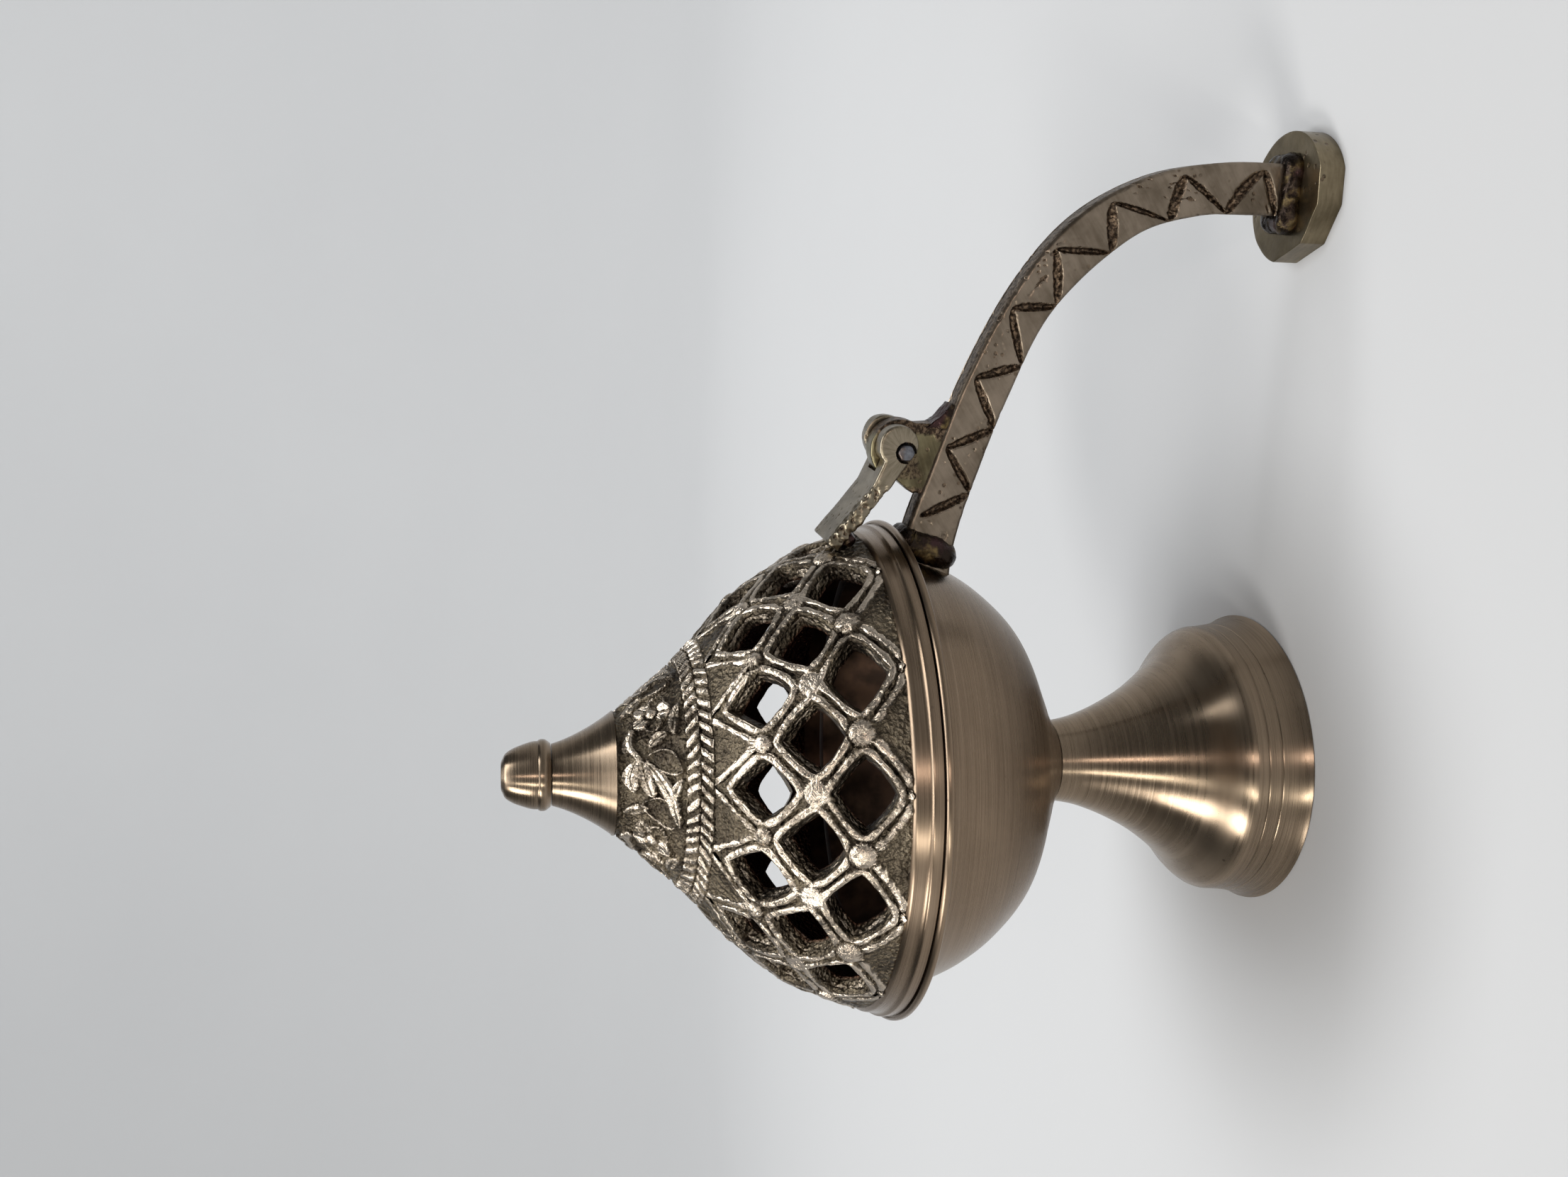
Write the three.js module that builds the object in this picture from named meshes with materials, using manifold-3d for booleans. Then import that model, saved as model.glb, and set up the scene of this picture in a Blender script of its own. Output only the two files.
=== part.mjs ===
// Table thurible (hand censer): a turned pedestal foot, a charcoal bowl, a pierced domed lid on a
// hinge, and a curved side handle that ends in a second, round foot.
// Millimetres, +Z up. Parts are drawn about the bowl's axis with the handle along +X, and the whole
// group is then shifted so that the origin lies at the middle of the object's footprint.

import * as THREE from 'three';
import { mergeVertices } from 'three/addons/utils/BufferGeometryUtils.js';
import Module from 'manifold-3d';

const wasm = await Module();
wasm.setup();

// ---------- driving dimensions ----------
const TURNED_SEGMENTS = 52;      // facets round every large turned part
const TOUCH_GAP = 0.1;           // between turned faces that sit on each other
const BRAZE_GAP = 0.3;           // between brazed pieces that follow each other's surface

const LIP_R = 45;                // bowl lip, the widest part of the body
const LIP_TOP_Z = 73.4;
const LIP_UNDER_Z = 71.9;
const BOWL_WALL = 2.2;
const NECK_Z = 39;               // where the bowl sits on the foot
const NECK_R = 7.4;
const NECK_SOLID_H = 8;          // metal above the foot's hollow, that the screw passes through
const FOOT_BASE_R = 27.1;
const FOOT_WALL = 2.8;

const LID_SEAT_GAP = 0.3;        // lid rim above the lip when closed
const LID_WALL = 3;
const LID_CONE_Z = 121;          // cast pattern ends and the turned cone begins
const LID_TOP_Z = 131.3;
const WINDOWS_PER_ROW = 13;
const WINDOW_PHASE = -75;        // degrees from the handle to the middle window of rows 1 and 3
const WINDOW_CORNER = 0.17;      // share of each window side lost to its rounded corners
const FINIAL_TOP_Z = 140;
const STUD_R = 2.4;              // finial stud, down into the lid's cone
const STUD_END_Z = 121.5;

const SCREW_R = 2;
const SCREW_HOLE_R = 2.35;
const WASHER_R = 5;
const WASHER_T = 0.8;
const NUT_ACROSS_FLATS = 7;
const NUT_H = 3.2;
const HEAD_R = 3.9;
const HEAD_H = 2.4;
const HEAD_SLOT_W = 1;

const ARM_W = 5;
const DISC_X = 104.1;
const DISC_R = 11.2;
const DISC_T = 4.6;

const PIN_X = 58.6;              // hinge axis, parallel to Y
const PIN_Z = 72.2;
const PIN_R = 1.45;
const PIN_LENGTH = 11.8;
const PIN_BORE_R = 1.75;
const STRAP_W = 11;
const KNUCKLE_R = 3.4;
const KNUCKLE_OFFSET = 1.25;     // knuckle centre beyond and above the pin
const SLOT_R = 5.8;              // slot in the strap, turned about the pin
const SLOT_W = 4.6;
const LUG_W = 4;
const LUG_TOP_R = 4.8;
const COLLAR_W = 8;              // brazed collar where the arm meets the bowl

// ---------- materials ----------
function metal(name, color, roughness, metalness = 1) {
  return new THREE.MeshStandardMaterial({ name, color, roughness, metalness });
}
const turnedBrass = () => metal('turned_brass', 0x857561, 0.35);
const castBrass = () => metal('cast_brass', 0x6f604c, 0.5);
const brazeAlloy = () => metal('braze', 0x4a3f33, 0.45);
const steel = () => metal('steel', 0x77787c, 0.4);

// ---------- helpers ----------
const v2 = (x, y) => new THREE.Vector2(x, y);

// A smooth run of points through a few [x, y] pairs, for turned profiles and cast outlines.
function smoothRun(pairs, steps) {
  return new THREE.SplineCurve(pairs.map(([x, y]) => v2(x, y))).getPoints(steps);
}

function toSolid(geometry) {
  const bare = geometry.index ? geometry.clone() : geometry;
  bare.deleteAttribute('normal');
  bare.deleteAttribute('uv');
  const welded = mergeVertices(bare, 1e-4);
  const mesh = new wasm.Mesh({
    numProp: 3,
    vertProperties: new Float32Array(welded.attributes.position.array),
    triVerts: new Uint32Array(welded.index.array),
  });
  return new wasm.Manifold(mesh);
}

function toGeometry(solid) {
  const { vertProperties, triVerts } = solid.getMesh();
  const geometry = new THREE.BufferGeometry();
  geometry.setAttribute('position', new THREE.BufferAttribute(vertProperties, 3));
  geometry.setIndex(new THREE.BufferAttribute(triVerts, 1));
  geometry.computeVertexNormals();
  return geometry;
}

// A solid turned about Z from a closed loop of Vector2(radius, z), given anticlockwise.
function turned(loop, segments = TURNED_SEGMENTS) {
  const closed = [...loop, loop[0].clone()];
  return toSolid(new THREE.LatheGeometry(closed, segments).rotateX(Math.PI / 2));
}

// A solid of an outline in the XZ plane, extruded along Y and centred on y = 0.
function plate(outline, width) {
  const geometry = new THREE.ExtrudeGeometry(new THREE.Shape(outline), {
    depth: width,
    bevelEnabled: false,
  });
  return toSolid(geometry.rotateX(Math.PI / 2).translate(0, width / 2, 0));
}

// A round bar along Y, for pins, bores and the slot that clears the lug.
function barAlongY(radius, length, x, z, segments = 24) {
  return toSolid(new THREE.CylinderGeometry(radius, radius, length, segments).translate(x, 0, z));
}

function arcPoints(cx, cz, radius, fromDeg, toDeg, steps) {
  const start = THREE.MathUtils.degToRad(fromDeg);
  const end = THREE.MathUtils.degToRad(toDeg);
  return new THREE.EllipseCurve(cx, cz, radius, radius, start, end, end < start).getPoints(steps);
}

const assembly = new THREE.Group();
function addPart(name, solid, material) {
  const mesh = new THREE.Mesh(toGeometry(solid), material);
  mesh.name = name;
  assembly.add(mesh);
}

// ---------- shared profiles, as [radius, z] ----------
const BOWL_OUTSIDE = [
  [12.2, 42], [20.2, 46], [27.4, 50], [33, 56], [36.6, 62], [38.9, 68], [40.4, 71.7],
];
const LID_OUTSIDE = [
  [42.9, 77.9], [42.1, 80.5], [40, 86], [36.8, 92],
  [30.6, 100], [21.8, 108], [14.5, 116], [10.84, LID_CONE_Z],
];

// Radius of a profile at a height that lies between its first and last points.
function radiusOn(profile, z) {
  const next = profile.findIndex(([, pz]) => pz > z);
  const [r0, z0] = profile[next - 1];
  const [r1, z1] = profile[next];
  return r0 + (r1 - r0) * (z - z0) / (z1 - z0);
}

// ---------- foot and its fastening ----------
const FOOT_TOP_Z = NECK_Z - TOUCH_GAP;
const FOOT_CEILING_Z = FOOT_TOP_Z - NECK_SOLID_H;

function footSolid() {
  const bell = [[22.5, 12.1], [18.4, 16], [14, 22], [10.6, 28.3], [8.4, 34], [NECK_R, FOOT_TOP_Z]];
  const outside = [
    v2(FOOT_BASE_R, 0), v2(26, 2), v2(25.4, 4.4), v2(25, 8), v2(24.9, 10), v2(24.1, 11.4),
    ...smoothRun(bell, 8),
  ];
  const hollow = [[21.6, 9.5], [17, 13], [12.2, 19], [8.6, 25.5], [6.6, FOOT_CEILING_Z]];
  const inside = [
    v2(SCREW_HOLE_R, FOOT_TOP_Z), v2(SCREW_HOLE_R, FOOT_CEILING_Z),
    ...smoothRun(hollow, 6).reverse(), v2(22.4, 7.5), v2(FOOT_BASE_R - FOOT_WALL, 0),
  ];
  return turned([...outside, ...inside]);
}

function washerSolid(bottomZ) {
  const topZ = bottomZ + WASHER_T;
  const outside = [v2(WASHER_R, bottomZ), v2(WASHER_R, topZ)];
  return turned([...outside, v2(SCREW_HOLE_R, topZ), v2(SCREW_HOLE_R, bottomZ)], 32);
}

const BOWL_FLOOR_Z = NECK_Z + BOWL_WALL;
const TOP_WASHER_Z = BOWL_FLOOR_Z + TOUCH_GAP;
const SCREW_SEAT_Z = TOP_WASHER_Z + WASHER_T + TOUCH_GAP;
const LOW_WASHER_Z = FOOT_CEILING_Z - TOUCH_GAP - WASHER_T;
const NUT_TOP_Z = LOW_WASHER_Z - TOUCH_GAP;

function screwSolid() {
  const tipZ = NUT_TOP_Z - NUT_H - 1.4;
  const headTopZ = SCREW_SEAT_Z + HEAD_H;
  const shank = [v2(0, tipZ), v2(SCREW_R - 0.4, tipZ), v2(SCREW_R, tipZ + 0.4), v2(SCREW_R, SCREW_SEAT_Z)];
  const head = [
    v2(HEAD_R, SCREW_SEAT_Z), v2(HEAD_R, SCREW_SEAT_Z + HEAD_H * 0.6),
    v2(HEAD_R * 0.7, headTopZ), v2(0, headTopZ),
  ];
  const slot = new THREE.BoxGeometry(3 * HEAD_R, HEAD_SLOT_W, HEAD_H);
  return turned([...shank, ...head], 32).subtract(toSolid(slot.translate(0, 0, headTopZ)));
}

function nutSolid() {
  const cornerR = NUT_ACROSS_FLATS / 2 / Math.cos(Math.PI / 6);
  const hexagon = new THREE.CylinderGeometry(cornerR, cornerR, NUT_H, 6).rotateX(Math.PI / 2);
  const block = toSolid(hexagon.translate(0, 0, NUT_TOP_Z - NUT_H / 2));
  const hole = new THREE.CylinderGeometry(SCREW_HOLE_R, SCREW_HOLE_R, NUT_H * 2, 24).rotateX(Math.PI / 2);
  return block.subtract(toSolid(hole.translate(0, 0, NUT_TOP_Z - NUT_H / 2)));
}

// ---------- bowl ----------
function bowlSolid() {
  const edge = 0.5;
  const outside = [v2(NECK_R, NECK_Z), ...smoothRun(BOWL_OUTSIDE, 8)];
  const lip = [
    v2(LIP_R - edge, LIP_UNDER_Z), v2(LIP_R, LIP_UNDER_Z + edge),
    v2(LIP_R, LIP_TOP_Z - edge), v2(LIP_R - edge, LIP_TOP_Z),
  ];
  const wall = [
    [12, 44.6], [19.2, 48.2], [26, 52.2], [31.2, 57.6], [34.5, 63], [37, 69], [38.2, LIP_TOP_Z],
  ];
  const floor = [v2(6.4, BOWL_FLOOR_Z), v2(SCREW_HOLE_R, BOWL_FLOOR_Z), v2(SCREW_HOLE_R, NECK_Z)];
  return turned([...outside, ...lip, ...smoothRun(wall, 6).reverse(), ...floor]);
}

// ---------- lid ----------
const LID_BASE_Z = LIP_TOP_Z + LID_SEAT_GAP;

// One pierced window: a square with rounded corners, standing on a corner, seen along the wall.
function windowCutter(halfWidth, halfHeight, angleDeg, z, tiltDeg) {
  const tips = [v2(halfWidth, 0), v2(0, halfHeight), v2(-halfWidth, 0), v2(0, -halfHeight)];
  const corners = tips.flatMap((tip, i) => [
    tip.clone().lerp(tips[(i + 3) % 4], WINDOW_CORNER),
    tip.clone().lerp(tips[(i + 1) % 4], WINDOW_CORNER),
  ]);
  const depth = 4 * LID_WALL;
  const geometry = new THREE.ExtrudeGeometry(new THREE.Shape(corners), { depth, bevelEnabled: false });
  geometry.translate(0, 0, -depth / 2);
  // Local Z becomes the wall's outward normal: out along +X, tipped up by the wall's slope.
  geometry.rotateX(Math.PI / 2);
  geometry.rotateZ(Math.PI / 2);
  geometry.rotateY(-THREE.MathUtils.degToRad(tiltDeg));
  geometry.translate(radiusOn(LID_OUTSIDE, z) - LID_WALL / 2, 0, z);
  geometry.rotateZ(THREE.MathUtils.degToRad(angleDeg));
  return toSolid(geometry);
}

// Widths, heights and slopes of the three rows, and how far each is turned, in windows.
const WINDOW_ROWS = [
  { z: 99.4, halfWidth: 4.7, halfHeight: 5, tilt: 47, shift: 0 },
  { z: 91.8, halfWidth: 4.6, halfHeight: 4.8, tilt: 31, shift: 0.5 },
  { z: 84.8, halfWidth: 5.2, halfHeight: 4.8, tilt: 22, shift: 0 },
];

function lidShell() {
  const boreR = STUD_R + BRAZE_GAP;
  const boreEndZ = STUD_END_Z - 1;
  const rim = [v2(44.2, LID_BASE_Z), v2(43.9, 75.2), v2(43.3, 75.5), v2(43.1, 77.6)];
  const cone = [v2(8.2, 124.8), v2(6.4, 128.2), v2(5.41, LID_TOP_Z)];
  const under = [
    [40.2, 77.5], [37.2, 86], [34, 91.4], [27.8, 98.8], [19.2, 106], [12, 113.6], [7.6, 118.5],
  ];
  const bore = [v2(boreR, LID_TOP_Z), v2(boreR, boreEndZ), v2(6, boreEndZ)];
  return turned([
    ...rim, ...smoothRun(LID_OUTSIDE, 9), ...cone,
    ...bore, ...smoothRun(under, 6).reverse(), v2(40.8, LID_BASE_Z),
  ]);
}

function lidSolid() {
  let lid = lidShell();
  for (const row of WINDOW_ROWS) {
    for (let i = 0; i < WINDOWS_PER_ROW; i += 1) {
      const angle = WINDOW_PHASE + (i + row.shift) * 360 / WINDOWS_PER_ROW;
      lid = lid.subtract(windowCutter(row.halfWidth, row.halfHeight, angle, row.z, row.tilt));
    }
  }
  return lid;
}

function finialSolid() {
  const seatZ = LID_TOP_Z + TOUCH_GAP;
  const dome = [[6.2, 134.1], [5.9, 136], [4.9, 138.3], [2.9, FINIAL_TOP_Z - 0.4]];
  const stud = [v2(0, STUD_END_Z), v2(STUD_R, STUD_END_Z), v2(STUD_R, seatZ)];
  const collar = [v2(5.5, seatZ), v2(6.27, 132.6), v2(6.27, 133.4), v2(5.75, 133.8)];
  const top = [v2(2.2, FINIAL_TOP_Z), v2(0, FINIAL_TOP_Z)];
  return turned([...stud, ...collar, ...smoothRun(dome, 6), ...top], 28);
}

// ---------- handle ----------
const ARM_END_Z = DISC_T + BRAZE_GAP;
const ARM_TOP = [
  [38, 71.1], [46, 69.7], [54.6, 66.9], [71.4, 61.2], [87.5, 53.2],
  [99, 43.8], [106.2, 31.5], [109.2, 18], [109.6, ARM_END_Z],
];
const ARM_UNDER = [
  [33, 61.9], [42, 61.4], [51, 59.2], [67.9, 53.7], [83.4, 46.6],
  [95.8, 33.8], [100, 22.4], [100.8, 12], [100.8, ARM_END_Z],
];

// Unit vector to the left of a run of points at point i.
function sideways(run, i) {
  const a = run[Math.max(i - 1, 0)];
  const b = run[Math.min(i + 1, run.length - 1)];
  return v2(a.y - b.y, b.x - a.x).normalize();
}

// The arm seen from the side, made wider by grow on its top and its underside.
function armOutline(grow) {
  const top = smoothRun(ARM_TOP, 22);
  const under = smoothRun(ARM_UNDER, 20);
  const grownTop = top.map((p, i) => p.clone().addScaledVector(sideways(top, i), grow));
  const grownUnder = under.map((p, i) => p.clone().addScaledVector(sideways(under, i), -grow));
  return [...grownUnder, ...grownTop.reverse()];
}

// The bowl's outer surface grown outwards, for pieces that stop just short of it.
function bowlClearance(grow) {
  const wall = smoothRun(BOWL_OUTSIDE, 8);
  const lip = [v2(LIP_R + grow, LIP_UNDER_Z - grow), v2(LIP_R + grow, LIP_TOP_Z), v2(0, LIP_TOP_Z)];
  return turned([
    v2(0, NECK_Z), v2(wall[0].x + grow, NECK_Z), ...wall.map((p) => v2(p.x + grow, p.y)), ...lip,
  ]);
}

function armSolid() {
  return plate(armOutline(0), ARM_W).subtract(bowlClearance(BRAZE_GAP));
}

function discSolid() {
  const edge = 0.5;
  const disc = turned([
    v2(0, 0), v2(DISC_R, 0), v2(DISC_R, DISC_T - edge), v2(DISC_R - edge, DISC_T), v2(0, DISC_T),
  ], 40);
  return disc.translate([DISC_X, 0, 0]);
}

// ---------- hinge ----------
const STRAP_TOP = [[42.7, 85.1], [49.2, 80.3], [52.6, 77.7], [56.6, 76]];
const STRAP_UNDER = [[41.3, 83.1], [44.6, 80.6], [53.6, 73.8]];

function strapSolid() {
  const cx = PIN_X + KNUCKLE_OFFSET;
  const cz = PIN_Z + KNUCKLE_OFFSET;
  const under = STRAP_UNDER.map(([x, z]) => v2(x, z));
  const knuckle = arcPoints(cx, cz, KNUCKLE_R, -140, 135, 20);
  const top = STRAP_TOP.map(([x, z]) => v2(x, z)).reverse();
  return plate([...under, ...knuckle, ...top], STRAP_W)
    .subtract(barAlongY(SLOT_R, SLOT_W, PIN_X, PIN_Z, 40))
    .subtract(barAlongY(PIN_BORE_R, STRAP_W * 2, PIN_X, PIN_Z));
}

function lugSolid() {
  const round = arcPoints(PIN_X, PIN_Z, LUG_TOP_R, 0, 180, 16);
  const low = [v2(49.6, 66), v2(63.2, 63), v2(PIN_X + LUG_TOP_R, 68)];
  return plate([...low, ...round, v2(52.6, 70.6), v2(50, 69)], LUG_W)
    .subtract(plate(armOutline(BRAZE_GAP), ARM_W * 2))
    .subtract(barAlongY(PIN_BORE_R, LUG_W * 2, PIN_X, PIN_Z));
}

// ---------- brazed joints ----------
function rootBraze() {
  const collar = [
    v2(36, 60.6), v2(40.6, 60.6), v2(42.8, 63.4), v2(45.6, 67.2),
    v2(46.4, 69.6), v2(45.4, 71.2), v2(40, 71.2),
  ];
  return plate(collar, COLLAR_W)
    .subtract(plate(armOutline(BRAZE_GAP), ARM_W + 2 * BRAZE_GAP))
    .subtract(bowlClearance(BRAZE_GAP));
}

function discBraze() {
  const topZ = ARM_END_Z + 3;
  const fillet = [v2(7.4, ARM_END_Z), v2(6.4, ARM_END_Z + 1.4), v2(5.6, topZ)];
  const hole = plate(armOutline(BRAZE_GAP), ARM_W + 2 * BRAZE_GAP);
  return turned([v2(0, ARM_END_Z), ...fillet, v2(0, topZ)], 24)
    .translate([DISC_X + 1, 0, 0])
    .subtract(hole)
    .subtract(hole.translate([0, 0, -BRAZE_GAP]));
}

function lugBraze() {
  const lugX = PIN_X + LUG_TOP_R + BRAZE_GAP;
  const wedge = [v2(lugX, 60), v2(67, 60), v2(67, 63.4), v2(64.6, 66), v2(lugX, 67.6)];
  return plate(wedge, LUG_W).subtract(plate(armOutline(BRAZE_GAP), ARM_W * 2));
}

function strapBraze() {
  const lowZ = 79;
  const highZ = 82.4;
  const wedge = [
    v2(radiusOn(LID_OUTSIDE, lowZ) + BRAZE_GAP, lowZ), v2(44.1, 80.4),
    v2(radiusOn(LID_OUTSIDE, highZ) + BRAZE_GAP, highZ),
  ];
  return plate(wedge, STRAP_W - 2);
}

addPart('foot', footSolid(), turnedBrass());
addPart('bowl', bowlSolid(), turnedBrass());
addPart('bowl_screw', screwSolid(), steel());
addPart('bowl_washer', washerSolid(TOP_WASHER_Z), steel());
addPart('foot_washer', washerSolid(LOW_WASHER_Z), steel());
addPart('foot_nut', nutSolid(), steel());
addPart('lid', lidSolid(), castBrass());
addPart('finial', finialSolid(), turnedBrass());
addPart('handle_arm', armSolid(), castBrass());
addPart('handle_foot', discSolid(), turnedBrass());
addPart('hinge_strap', strapSolid(), castBrass());
addPart('hinge_lug', lugSolid(), castBrass());
addPart('hinge_pin', barAlongY(PIN_R, PIN_LENGTH, PIN_X, PIN_Z), steel());
addPart('handle_root_braze', rootBraze(), brazeAlloy());
addPart('handle_foot_braze', discBraze(), brazeAlloy());
addPart('hinge_lug_braze', lugBraze(), brazeAlloy());
addPart('strap_braze', strapBraze(), brazeAlloy());

const thurible = new THREE.Group();
assembly.position.x = (LIP_R - (DISC_X + DISC_R)) / 2;
thurible.add(assembly);

export default thurible;
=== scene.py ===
"""Looks for a hinged, pierced brass censer on a turned foot, with a curved handle ending in a round rest.

Shapes are worked out in millimetres about the bowl's axis, with the handle along +X. Each piece's object
stands on the axis that its mesh is drawn about, so object coordinates in a material start there.
"""

import math

import bmesh
import bpy
import numpy as np
from mathutils import Matrix, Vector


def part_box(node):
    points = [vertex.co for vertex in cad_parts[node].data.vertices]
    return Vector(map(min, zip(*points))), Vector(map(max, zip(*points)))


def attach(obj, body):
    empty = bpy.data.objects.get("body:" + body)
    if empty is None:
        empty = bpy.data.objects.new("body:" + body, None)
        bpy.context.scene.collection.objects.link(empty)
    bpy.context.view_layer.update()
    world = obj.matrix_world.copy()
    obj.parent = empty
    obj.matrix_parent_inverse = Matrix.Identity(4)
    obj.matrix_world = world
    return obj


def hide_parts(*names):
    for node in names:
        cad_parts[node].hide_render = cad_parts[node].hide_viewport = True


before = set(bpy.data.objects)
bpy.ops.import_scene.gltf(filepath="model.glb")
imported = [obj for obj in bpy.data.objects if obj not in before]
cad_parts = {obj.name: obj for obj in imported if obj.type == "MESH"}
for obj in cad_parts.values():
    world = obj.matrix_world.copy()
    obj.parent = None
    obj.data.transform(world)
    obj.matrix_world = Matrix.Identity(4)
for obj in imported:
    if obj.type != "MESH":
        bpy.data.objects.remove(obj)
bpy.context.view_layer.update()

MM = 0.001


def span(node, axis):
    """Lowest and highest value of a CAD node along an axis, in millimetres from the bowl's axis."""
    low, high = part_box(node)
    shift = AXIS_X if axis == 0 else 0
    return (low[axis] - shift) / MM, (high[axis] - shift) / MM


def middle(node, axis):
    return sum(span(node, axis)) / 2


AXIS_X = (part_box("bowl")[0].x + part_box("bowl")[1].x) / 2      # the bowl's axis in the frame, in metres

# ---------- driving dimensions, in millimetres ----------
LIP_R = span("bowl", 0)[1]
NECK_Z, LIP_TOP_Z = span("bowl", 2)
FOOT_R = span("foot", 0)[1]
FOOT_TOP_Z = span("foot", 2)[1]
LID_BASE_Z, LID_TOP_Z = span("lid", 2)
TOP_Z = span("finial", 2)[1]
PIN_X = middle("hinge_pin", 0)
PIN_Z = middle("hinge_pin", 2)
PIN_R = (span("hinge_pin", 2)[1] - span("hinge_pin", 2)[0]) / 2
PIN_HALF = span("hinge_pin", 1)[1]
DISC_X = middle("handle_foot", 0)
DISC_R = span("handle_foot", 1)[1]
DISC_T = span("handle_foot", 2)[1]

TURN_STEPS = 288              # facets round the large turned pieces
SCREW_HOLE_R = 2.35
LID_WALL = 3.0
WINDOWS = 13                  # windows in each of the lid's three rows
WINDOW_PHASE = -75.0          # degrees from the handle to one window of the top row
HALF_PITCH = 180.0 / WINDOWS
EDGE_STEPS = 28               # mesh steps along one side of a window's cell
RELIEF_LOW_Z = 77.9           # lowest edge of the lid's cast pattern
NODE_Z = (RELIEF_LOW_Z, 85.3, 92.1, 99.5, 106.2)   # heights where the ribs cross
TICK_LINE_Z = 108.1
FLORAL_Z = 110.2
CONE_Z = 121.0
GROUND = -0.6                 # height of the bands' cast ground; the ribs' polished tops are at 0
TICKS_LOW, TICKS_HIGH = 62, 57    # slanting ticks round each of the two tick bands
FLORAL_PHASE = -58.0          # degrees from the handle to the middle of one floral quarter
FLORAL_R = 17.6               # the lid's radius where the floral pattern is laid out

SKIRT_GROOVES = (5.1, 7.5)    # heights of the two scribed lines round the foot

ARM_W = 5.0
ARM_STATIONS = 520            # mesh steps along the arm
CUTS = 8                      # upward strokes of the chiselled zigzag
CUT_DEPTH = 0.85
CUT_HALF_W = 0.95
CUT_FIRST_TOP, CUT_TOP_PITCH = 8.3, 12.9      # distances along the arm to the cuts' upper ends
CUT_FIRST_LOW, CUT_LOW_PITCH = 16.2, 11.85    # and to their lower ends

STRAP_HALF_W = 5.5
LUG_HALF_W = 2.0
SLOT_HALF_W = 2.3             # the strap's slot, which the lug turns in
STRAP_HOLE_R, LUG_HOLE_R = 1.85, 1.7

LID_PROFILE = [(42.9, 77.9), (42.1, 80.5), (40, 86), (36.8, 92), (30.6, 100), (21.8, 108),
               (14.5, 116), (10.84, CONE_Z)]
BOWL_PROFILE = [(12.2, 42), (20.2, 46), (27.4, 50), (33, 56), (36.6, 62), (38.9, 68), (40.4, 71.7)]
ARM_TOP = [(39.3, 71.0), (46, 69.7), (54.6, 66.9), (71.4, 61.2), (87.5, 53.2), (99, 43.8),
           (106.2, 31.5), (109.2, 18), (109.6, DISC_T)]
ARM_UNDER = [(35.4, 61.9), (42, 61.4), (51, 59.2), (67.9, 53.7), (83.4, 46.6), (95.8, 33.8),
             (100, 22.4), (100.8, 12), (100.8, DISC_T)]


# ---------- curves and noise ----------
def full_turn(count):
    """`count` even angles round a circle."""
    return np.linspace(0, 2 * math.pi, count, endpoint=False)


def smooth_run(points, count):
    """`count` points along the smooth curve through a few points, with even steps between them."""
    p = np.array(points, float)
    last = len(p) - 1
    t = np.linspace(0, last, count)
    i = np.minimum(t.astype(int), last - 1)
    w = (t - i)[:, None]
    a, b, c, d = p[np.maximum(i - 1, 0)], p[i], p[i + 1], p[np.minimum(i + 2, last)]
    u, v = (c - a) / 2, (d - b) / 2
    return (2 * b - 2 * c + u + v) * w**3 + (3 * c - 3 * b - 2 * u - v) * w**2 + u * w + b


def soften(points, steps=5):
    """An outline whose corners (x, y, radius) are rounded; a corner with no radius stays sharp."""
    out = []
    for i, corner in enumerate(points):
        here = np.array(corner[:2], float)
        radius = corner[2] if len(corner) > 2 else 0
        if radius == 0:
            out.append(here)
            continue
        before = np.array(points[i - 1][:2], float) - here
        after = np.array(points[(i + 1) % len(points)][:2], float) - here
        start = here + before * min(0.5, radius / np.linalg.norm(before))
        end = here + after * min(0.5, radius / np.linalg.norm(after))
        for t in np.linspace(0, 1, steps):
            out.append((1 - t) ** 2 * start + 2 * t * (1 - t) * here + t**2 * end)
    return np.array(out)


def step(low, high, x):
    """0 below low, 1 above high, and a smooth rise between."""
    t = np.clip((x - low) / (high - low), 0, 1)
    return t * t * (3 - 2 * t)


def chance(i, j, k):
    """A repeatable value from 0 to 1 for every whole-number grid point."""
    n = np.sin(i * 127.1 + j * 311.7 + k * 74.7) * 43758.5453
    return n - np.floor(n)


def grain(points, size):
    """Smooth noise from -1 to 1, with bumps about `size` millimetres wide."""
    q = np.asarray(points) / size
    i = np.floor(q)
    f = q - i
    f = f * f * (3 - 2 * f)
    total = 0
    for dx in (0, 1):
        for dy in (0, 1):
            for dz in (0, 1):
                weight = np.abs(1 - dx - f[..., 0]) * np.abs(1 - dy - f[..., 1]) * np.abs(1 - dz - f[..., 2])
                total = total + weight * chance(i[..., 0] + dx, i[..., 1] + dy, i[..., 2] + dz)
    return total * 2 - 1


def rough(points, size):
    """Noise of two sizes, for cast metal."""
    return 0.65 * grain(points, size) + 0.35 * grain(np.asarray(points) + 31.7, size * 0.45)


# ---------- building pieces ----------
def grid_faces(rows, columns, wrap_rows, wrap_columns):
    """Quads over a grid of points numbered row by row."""
    i, j = np.meshgrid(np.arange(rows if wrap_rows else rows - 1),
                       np.arange(columns if wrap_columns else columns - 1), indexing="ij")
    i2, j2 = (i + 1) % rows, (j + 1) % columns
    quads = np.stack([i * columns + j, i2 * columns + j, i2 * columns + j2, i * columns + j2], -1)
    return quads.reshape(-1, 4)


def turned_points(angle, radius, z, centre_x=0.0):
    """Points round a vertical axis: one row for each angle, with a radius and a height for each column."""
    x, y = radius * np.cos(angle)[:, None], radius * np.sin(angle)[:, None]
    return np.stack(np.broadcast_arrays(centre_x + x, y, z), -1).reshape(-1, 3)


def new_object(name, data):
    """An object in the scene that holds a mesh, a camera or a lamp."""
    made = bpy.data.objects.new(name, data)
    bpy.context.scene.collection.objects.link(made)
    return made


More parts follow.
